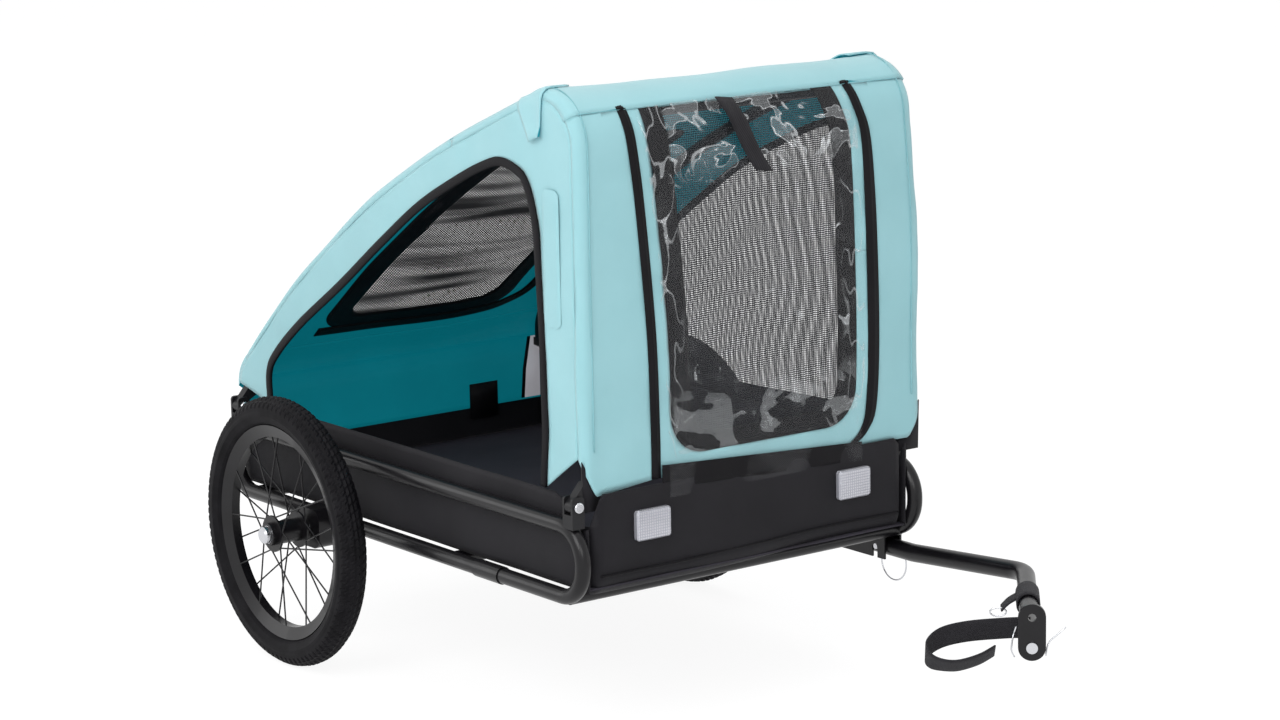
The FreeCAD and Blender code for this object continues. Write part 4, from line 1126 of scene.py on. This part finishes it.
# Hook-and-loop tab that stands up from the tub at the rear wall.
TAB_Y = (0.133, 0.186)
TAB_Z = (0.255, 0.290, 0.311)
tab = piece("rear_tab", [(TUB_REAR_INSIDE + 0.0045, y, z) for z in TAB_Z for y in TAB_Y],
            [(0, 1, 3, 2), (2, 3, 5, 4)], "black_trim", [(y, z) for z in TAB_Z for y in TAB_Y])
trimmed(tab, 0.002, folds=False)

# Tyres with cut tread blocks

TREAD_HALF = 1.15
TREAD_LANES = 9
TREAD_DEPTH = 0.0016
WALL_DEPTH = 0.0012
LANE_GAP = 0.16


def tread_depth(index, off):
    """How deep the tread is cut at a step round the tyre and an angle off its middle."""
    if abs(off) >= TREAD_HALF:
        return -WALL_DEPTH - 0.0004 * math.sin(off * 12)
    across = (off + TREAD_HALF) / (2 * TREAD_HALF) * TREAD_LANES
    lane = int(across)
    groove = (index + 2 * (lane % 2) + abs(lane - 4)) % 4 == 0
    return -TREAD_DEPTH if groove or abs(across - round(across)) < LANE_GAP else 0.0


def tyre_mesh(name, node):
    low, high = from_box(node)
    centre = (low + high) / 2
    section = (high.y - low.y) / 2
    ring = (high.z - low.z) / 2 - section
    around, turns = 396, 40
    points, uvs, faces = [], [], []
    for index in range(around):
        angle = 2 * math.pi * index / around
        ahead = (index + 1) % around
        for turn in range(turns):
            bend = 2 * math.pi * turn / turns
            radius = section + tread_depth(index, math.atan2(math.sin(bend), math.cos(bend)))
            reach = ring + radius * math.cos(bend)
            points.append((centre.x + reach * math.cos(angle), centre.y + radius * math.sin(bend),
                           centre.z + reach * math.sin(angle)))
            uvs.append((angle * ring, bend * section))
            other = (turn + 1) % turns
            faces.append((index * turns + turn, index * turns + other, ahead * turns + other, ahead * turns + turn))
    return piece(name, points, faces, "tyre", uvs, smooth=False)


for tag in ("right", "left"):
    made = tyre_mesh("tyre_%s_tread" % tag, "tyre_" + tag)
    dress(made, body="wheel_" + tag, nodes=["tyre_" + tag])

# Safety strap of the tow arm

SLEEVE_BACK = 0.200
SLEEVE_RADIUS = 0.0152
TOW_END = Vector((AXLE_X + 1.120, 0.075, 0.190))
TOW_BEND = Vector((AXLE_X + 0.874, 0.293, 0.198))
TOW_AXIS = (TOW_END - TOW_BEND).normalized()
TOW_SIDE = Vector((0, 0, 1)).cross(TOW_AXIS).normalized()
TOW_UP = TOW_AXIS.cross(TOW_SIDE)
# Heading of the strap's loop, away from the tube and towards the near side, and its line along these two and up.
LOOP_OUT = Vector((-0.598, -0.801, 0.0))
LOOP_NEAR = Vector((0.801, -0.598, 0.0))
LOOP = [(0.0, 0.0, 0.0), (0.035, 0.002, 0.0), (0.085, 0.004, -0.003), (0.120, 0.010, -0.010),
        (0.139, 0.026, -0.022), (0.132, 0.044, -0.032), (0.104, 0.050, -0.036), (0.074, 0.046, -0.030),
        (0.054, 0.038, -0.022), (0.050, 0.030, -0.022)]
# Strap tab, bolt keeper and its tail, as points along the tube, aside and up.
STRAP_TAB = [(-0.204, -0.012, 0.004), (-0.196, -0.026, -0.002), (-0.188, -0.036, -0.010)]
KEEPER = [(-0.006, -0.020, 0.020), (0.004, -0.024, 0.010), (0.004, -0.026, -0.008), (-0.004, -0.022, -0.020)]
KEEPER_TAIL = [(0.010, 0.018, -0.014), (0.006, 0.022, 0.002), (0.0, 0.034, 0.012), (-0.004, 0.044, 0.020)]


def tow_spot(ahead, aside, up):
    """A place about the end of the tow tube."""
    return TOW_END + TOW_AXIS * ahead + TOW_SIDE * aside + TOW_UP * up


def tow_line(spots, step):
    return smooth_line([tow_spot(*spot) for spot in spots], step)


def safety_strap():
    """Webbing sewn round the tow tube, its tail standing on edge in an open loop."""
    wrap = [tow_spot(-SLEEVE_BACK, SLEEVE_RADIUS * math.cos(a), SLEEVE_RADIUS * math.sin(a))
            for a in np.linspace(-math.pi / 2, 3 * math.pi / 2, 25)]
    start = tow_spot(-0.066, 0.0, 0.001)
    spine = smooth_line([start + LOOP_OUT * a + LOOP_NEAR * b + TOW_UP * c for a, b, c in LOOP], 0.004)
    arms = []
    for share in np.linspace(0, 1, len(spine)):
        lean = 0.1 + 0.70 * soft_step(share, 0.45, 0.75)
        arms.append((TOW_UP * math.cos(lean) + LOOP_NEAR * math.sin(lean)) * STRAP_HALF)
    tab_spine = tow_line(STRAP_TAB, 0.004)
    return (ribbon("safety_strap_sleeve", wrap, [TOW_AXIS * 0.030] * len(wrap), STRAP, "webbing"),
            ribbon("safety_strap_loop", spine, arms, STRAP, "webbing"),
            ribbon("safety_strap_tab", tab_spine, [TOW_AXIS * 0.015] * len(tab_spine), STRAP, "webbing"))


for part_piece in safety_strap():
    dress(part_piece, body="tow_arm", nodes=["safety_strap"])

# Bright wire keeper of the hitch bolt and the ring on the strap's tab.
strap_ring = [tow_spot(-0.184, -0.040 + 0.011 * math.cos(a), -0.014 + 0.006 * math.sin(a))
              for a in np.linspace(0, 2 * math.pi, 24, endpoint=False)]
for wire in (cord_mesh("strap_ring", strap_ring, 0.0012, "steel", loop=True),
             cord_mesh("keeper_wire", tow_line(KEEPER, 0.003), WIRE, "steel"),
             cord_mesh("keeper_tail", tow_line(KEEPER_TAIL, 0.003), WIRE, "steel")):
    dress(wire, body="tow_arm")

# Studio: pale floor, soft light and the camera

WORLD_LIGHT = 0.50
FLOOR_GLOW = 1.13
FLOOR_SHARE = 0.80
FLOOR_SIZE = 40.0
FLOOR_Z = -0.0005
# Lamps as name, place, width and power.
LAMPS = (("key", (1.7, -3.6, 3.2), 3.0, 108.0), ("front", (3.2, -1.9, 1.9), 1.6, 22.0),
         ("top", (-0.4, 0.4, 4.4), 3.6, 46.0), ("side_haze", (-4.0, -3.2, 1.7), 2.6, 30.0),
         ("low_streak", (2.7, 2.0, 0.25), 0.5, 2.0), ("high_streak", (2.9, 2.2, 1.5), 0.45, 2.0))
LAMP_AIM = Vector((0.0, 0.0, 0.45))


def seen_rays(tree):
    """1 for the rays that reach the eye, straight, by a gloss or through a clear piece."""
    path = tree.nodes.new("ShaderNodeLightPath")
    seen = path.outputs["Is Camera Ray"]
    for kind in ("Is Glossy Ray", "Is Transmission Ray"):
        total = tree.nodes.new("ShaderNodeMath")
        total.use_clamp = True
        tree.links.new(seen, total.inputs[0])
        tree.links.new(path.outputs[kind], total.inputs[1])
        seen = total.outputs["Value"]
    return seen


def studio():
    """A wide white floor under soft lamps; the world is white to the eye and plain light to the rest."""
    corners = [(FLOOR_SIZE * a, FLOOR_SIZE * b, FLOOR_Z) for a, b in ((-1, -1), (1, -1), (1, 1), (-1, 1))]
    floor = piece("studio_floor", corners, [(0, 1, 2, 3)], "floor", smooth=False)
    world = bpy.data.worlds.new("studio_light")
    world.use_nodes = True
    bpy.context.scene.world = world
    back = world.node_tree.nodes["Background"]
    back.inputs["Color"].default_value = (1.0, 1.0, 1.0, 1.0)
    links = world.node_tree.links
    level = world.node_tree.nodes.new("ShaderNodeMath")
    level.operation = "MULTIPLY_ADD"
    level.inputs[1].default_value = 1.0 - WORLD_LIGHT
    level.inputs[2].default_value = WORLD_LIGHT
    links.new(seen_rays(world.node_tree), level.inputs[0])
    links.new(level.outputs["Value"], back.inputs["Strength"])
    for name, spot, width, power in LAMPS:
        light = bpy.data.lights.new(name, "AREA")
        light.shape = "DISK"
        light.size = width
        light.energy = power
        lamp = bpy.data.objects.new(name, light)
        lamp.location = spot
        aim = LAMP_AIM - Vector(spot)
        lamp.rotation_euler = aim.to_track_quat("-Z", "Y").to_euler()
        bpy.context.scene.collection.objects.link(lamp)


def floor_shade():
    """White paper: plain white to the eye, with the trailer's shadow kept on it."""
    shade = Shade("floor", srgb(246, 246, 247), 0.9, specular=0.1)
    shade.bump(shade.noise(60.0, 3.0), 0.02, 0.001)
    glow = shade.node("ShaderNodeEmission", Color=(1.0, 1.0, 1.0, 1.0), Strength=FLOOR_GLOW)
    mix = shade.node("ShaderNodeMixShader")
    shade.link(shade.math("MULTIPLY", seen_rays(shade.tree), FLOOR_SHARE), mix.inputs["Fac"])
    shade.link(shade.shader.outputs["BSDF"], mix.inputs[1])
    shade.link(glow.outputs["Emission"], mix.inputs[2])
    shade.link(mix.outputs["Shader"], shade.tree.nodes["Material Output"].inputs["Surface"])
    return shade.material


MATERIALS["floor"] = floor_shade()
studio()

# Camera fitted to the photo; its focal length is in the photo's pixels.
PHOTO_WIDTH, FOCAL = 1280, 3626
CAMERA_SPOT = Vector((AXLE_X + 4.444, -3.030, 1.483))
YAW, PITCH, ROLL = math.radians(143.25), math.radians(11.38), math.radians(-1.11)
ahead = Vector((math.cos(PITCH) * math.cos(YAW), math.cos(PITCH) * math.sin(YAW), -math.sin(PITCH)))
level = Vector((math.sin(YAW), -math.cos(YAW), 0))
above = level.cross(ahead)
right_hand = level * math.cos(ROLL) + above * math.sin(ROLL)
upward = -level * math.sin(ROLL) + above * math.cos(ROLL)
lens = bpy.data.cameras.new("camera")
lens.sensor_width = 36.0
lens.lens = FOCAL / PHOTO_WIDTH * lens.sensor_width
camera = bpy.data.objects.new("camera", lens)
camera.matrix_world = Matrix.Translation(CAMERA_SPOT) @ Matrix(
    (right_hand, upward, -ahead)).transposed().to_4x4()
bpy.context.scene.collection.objects.link(camera)
bpy.context.scene.camera = camera
bpy.context.scene.view_settings.view_transform = "Standard"
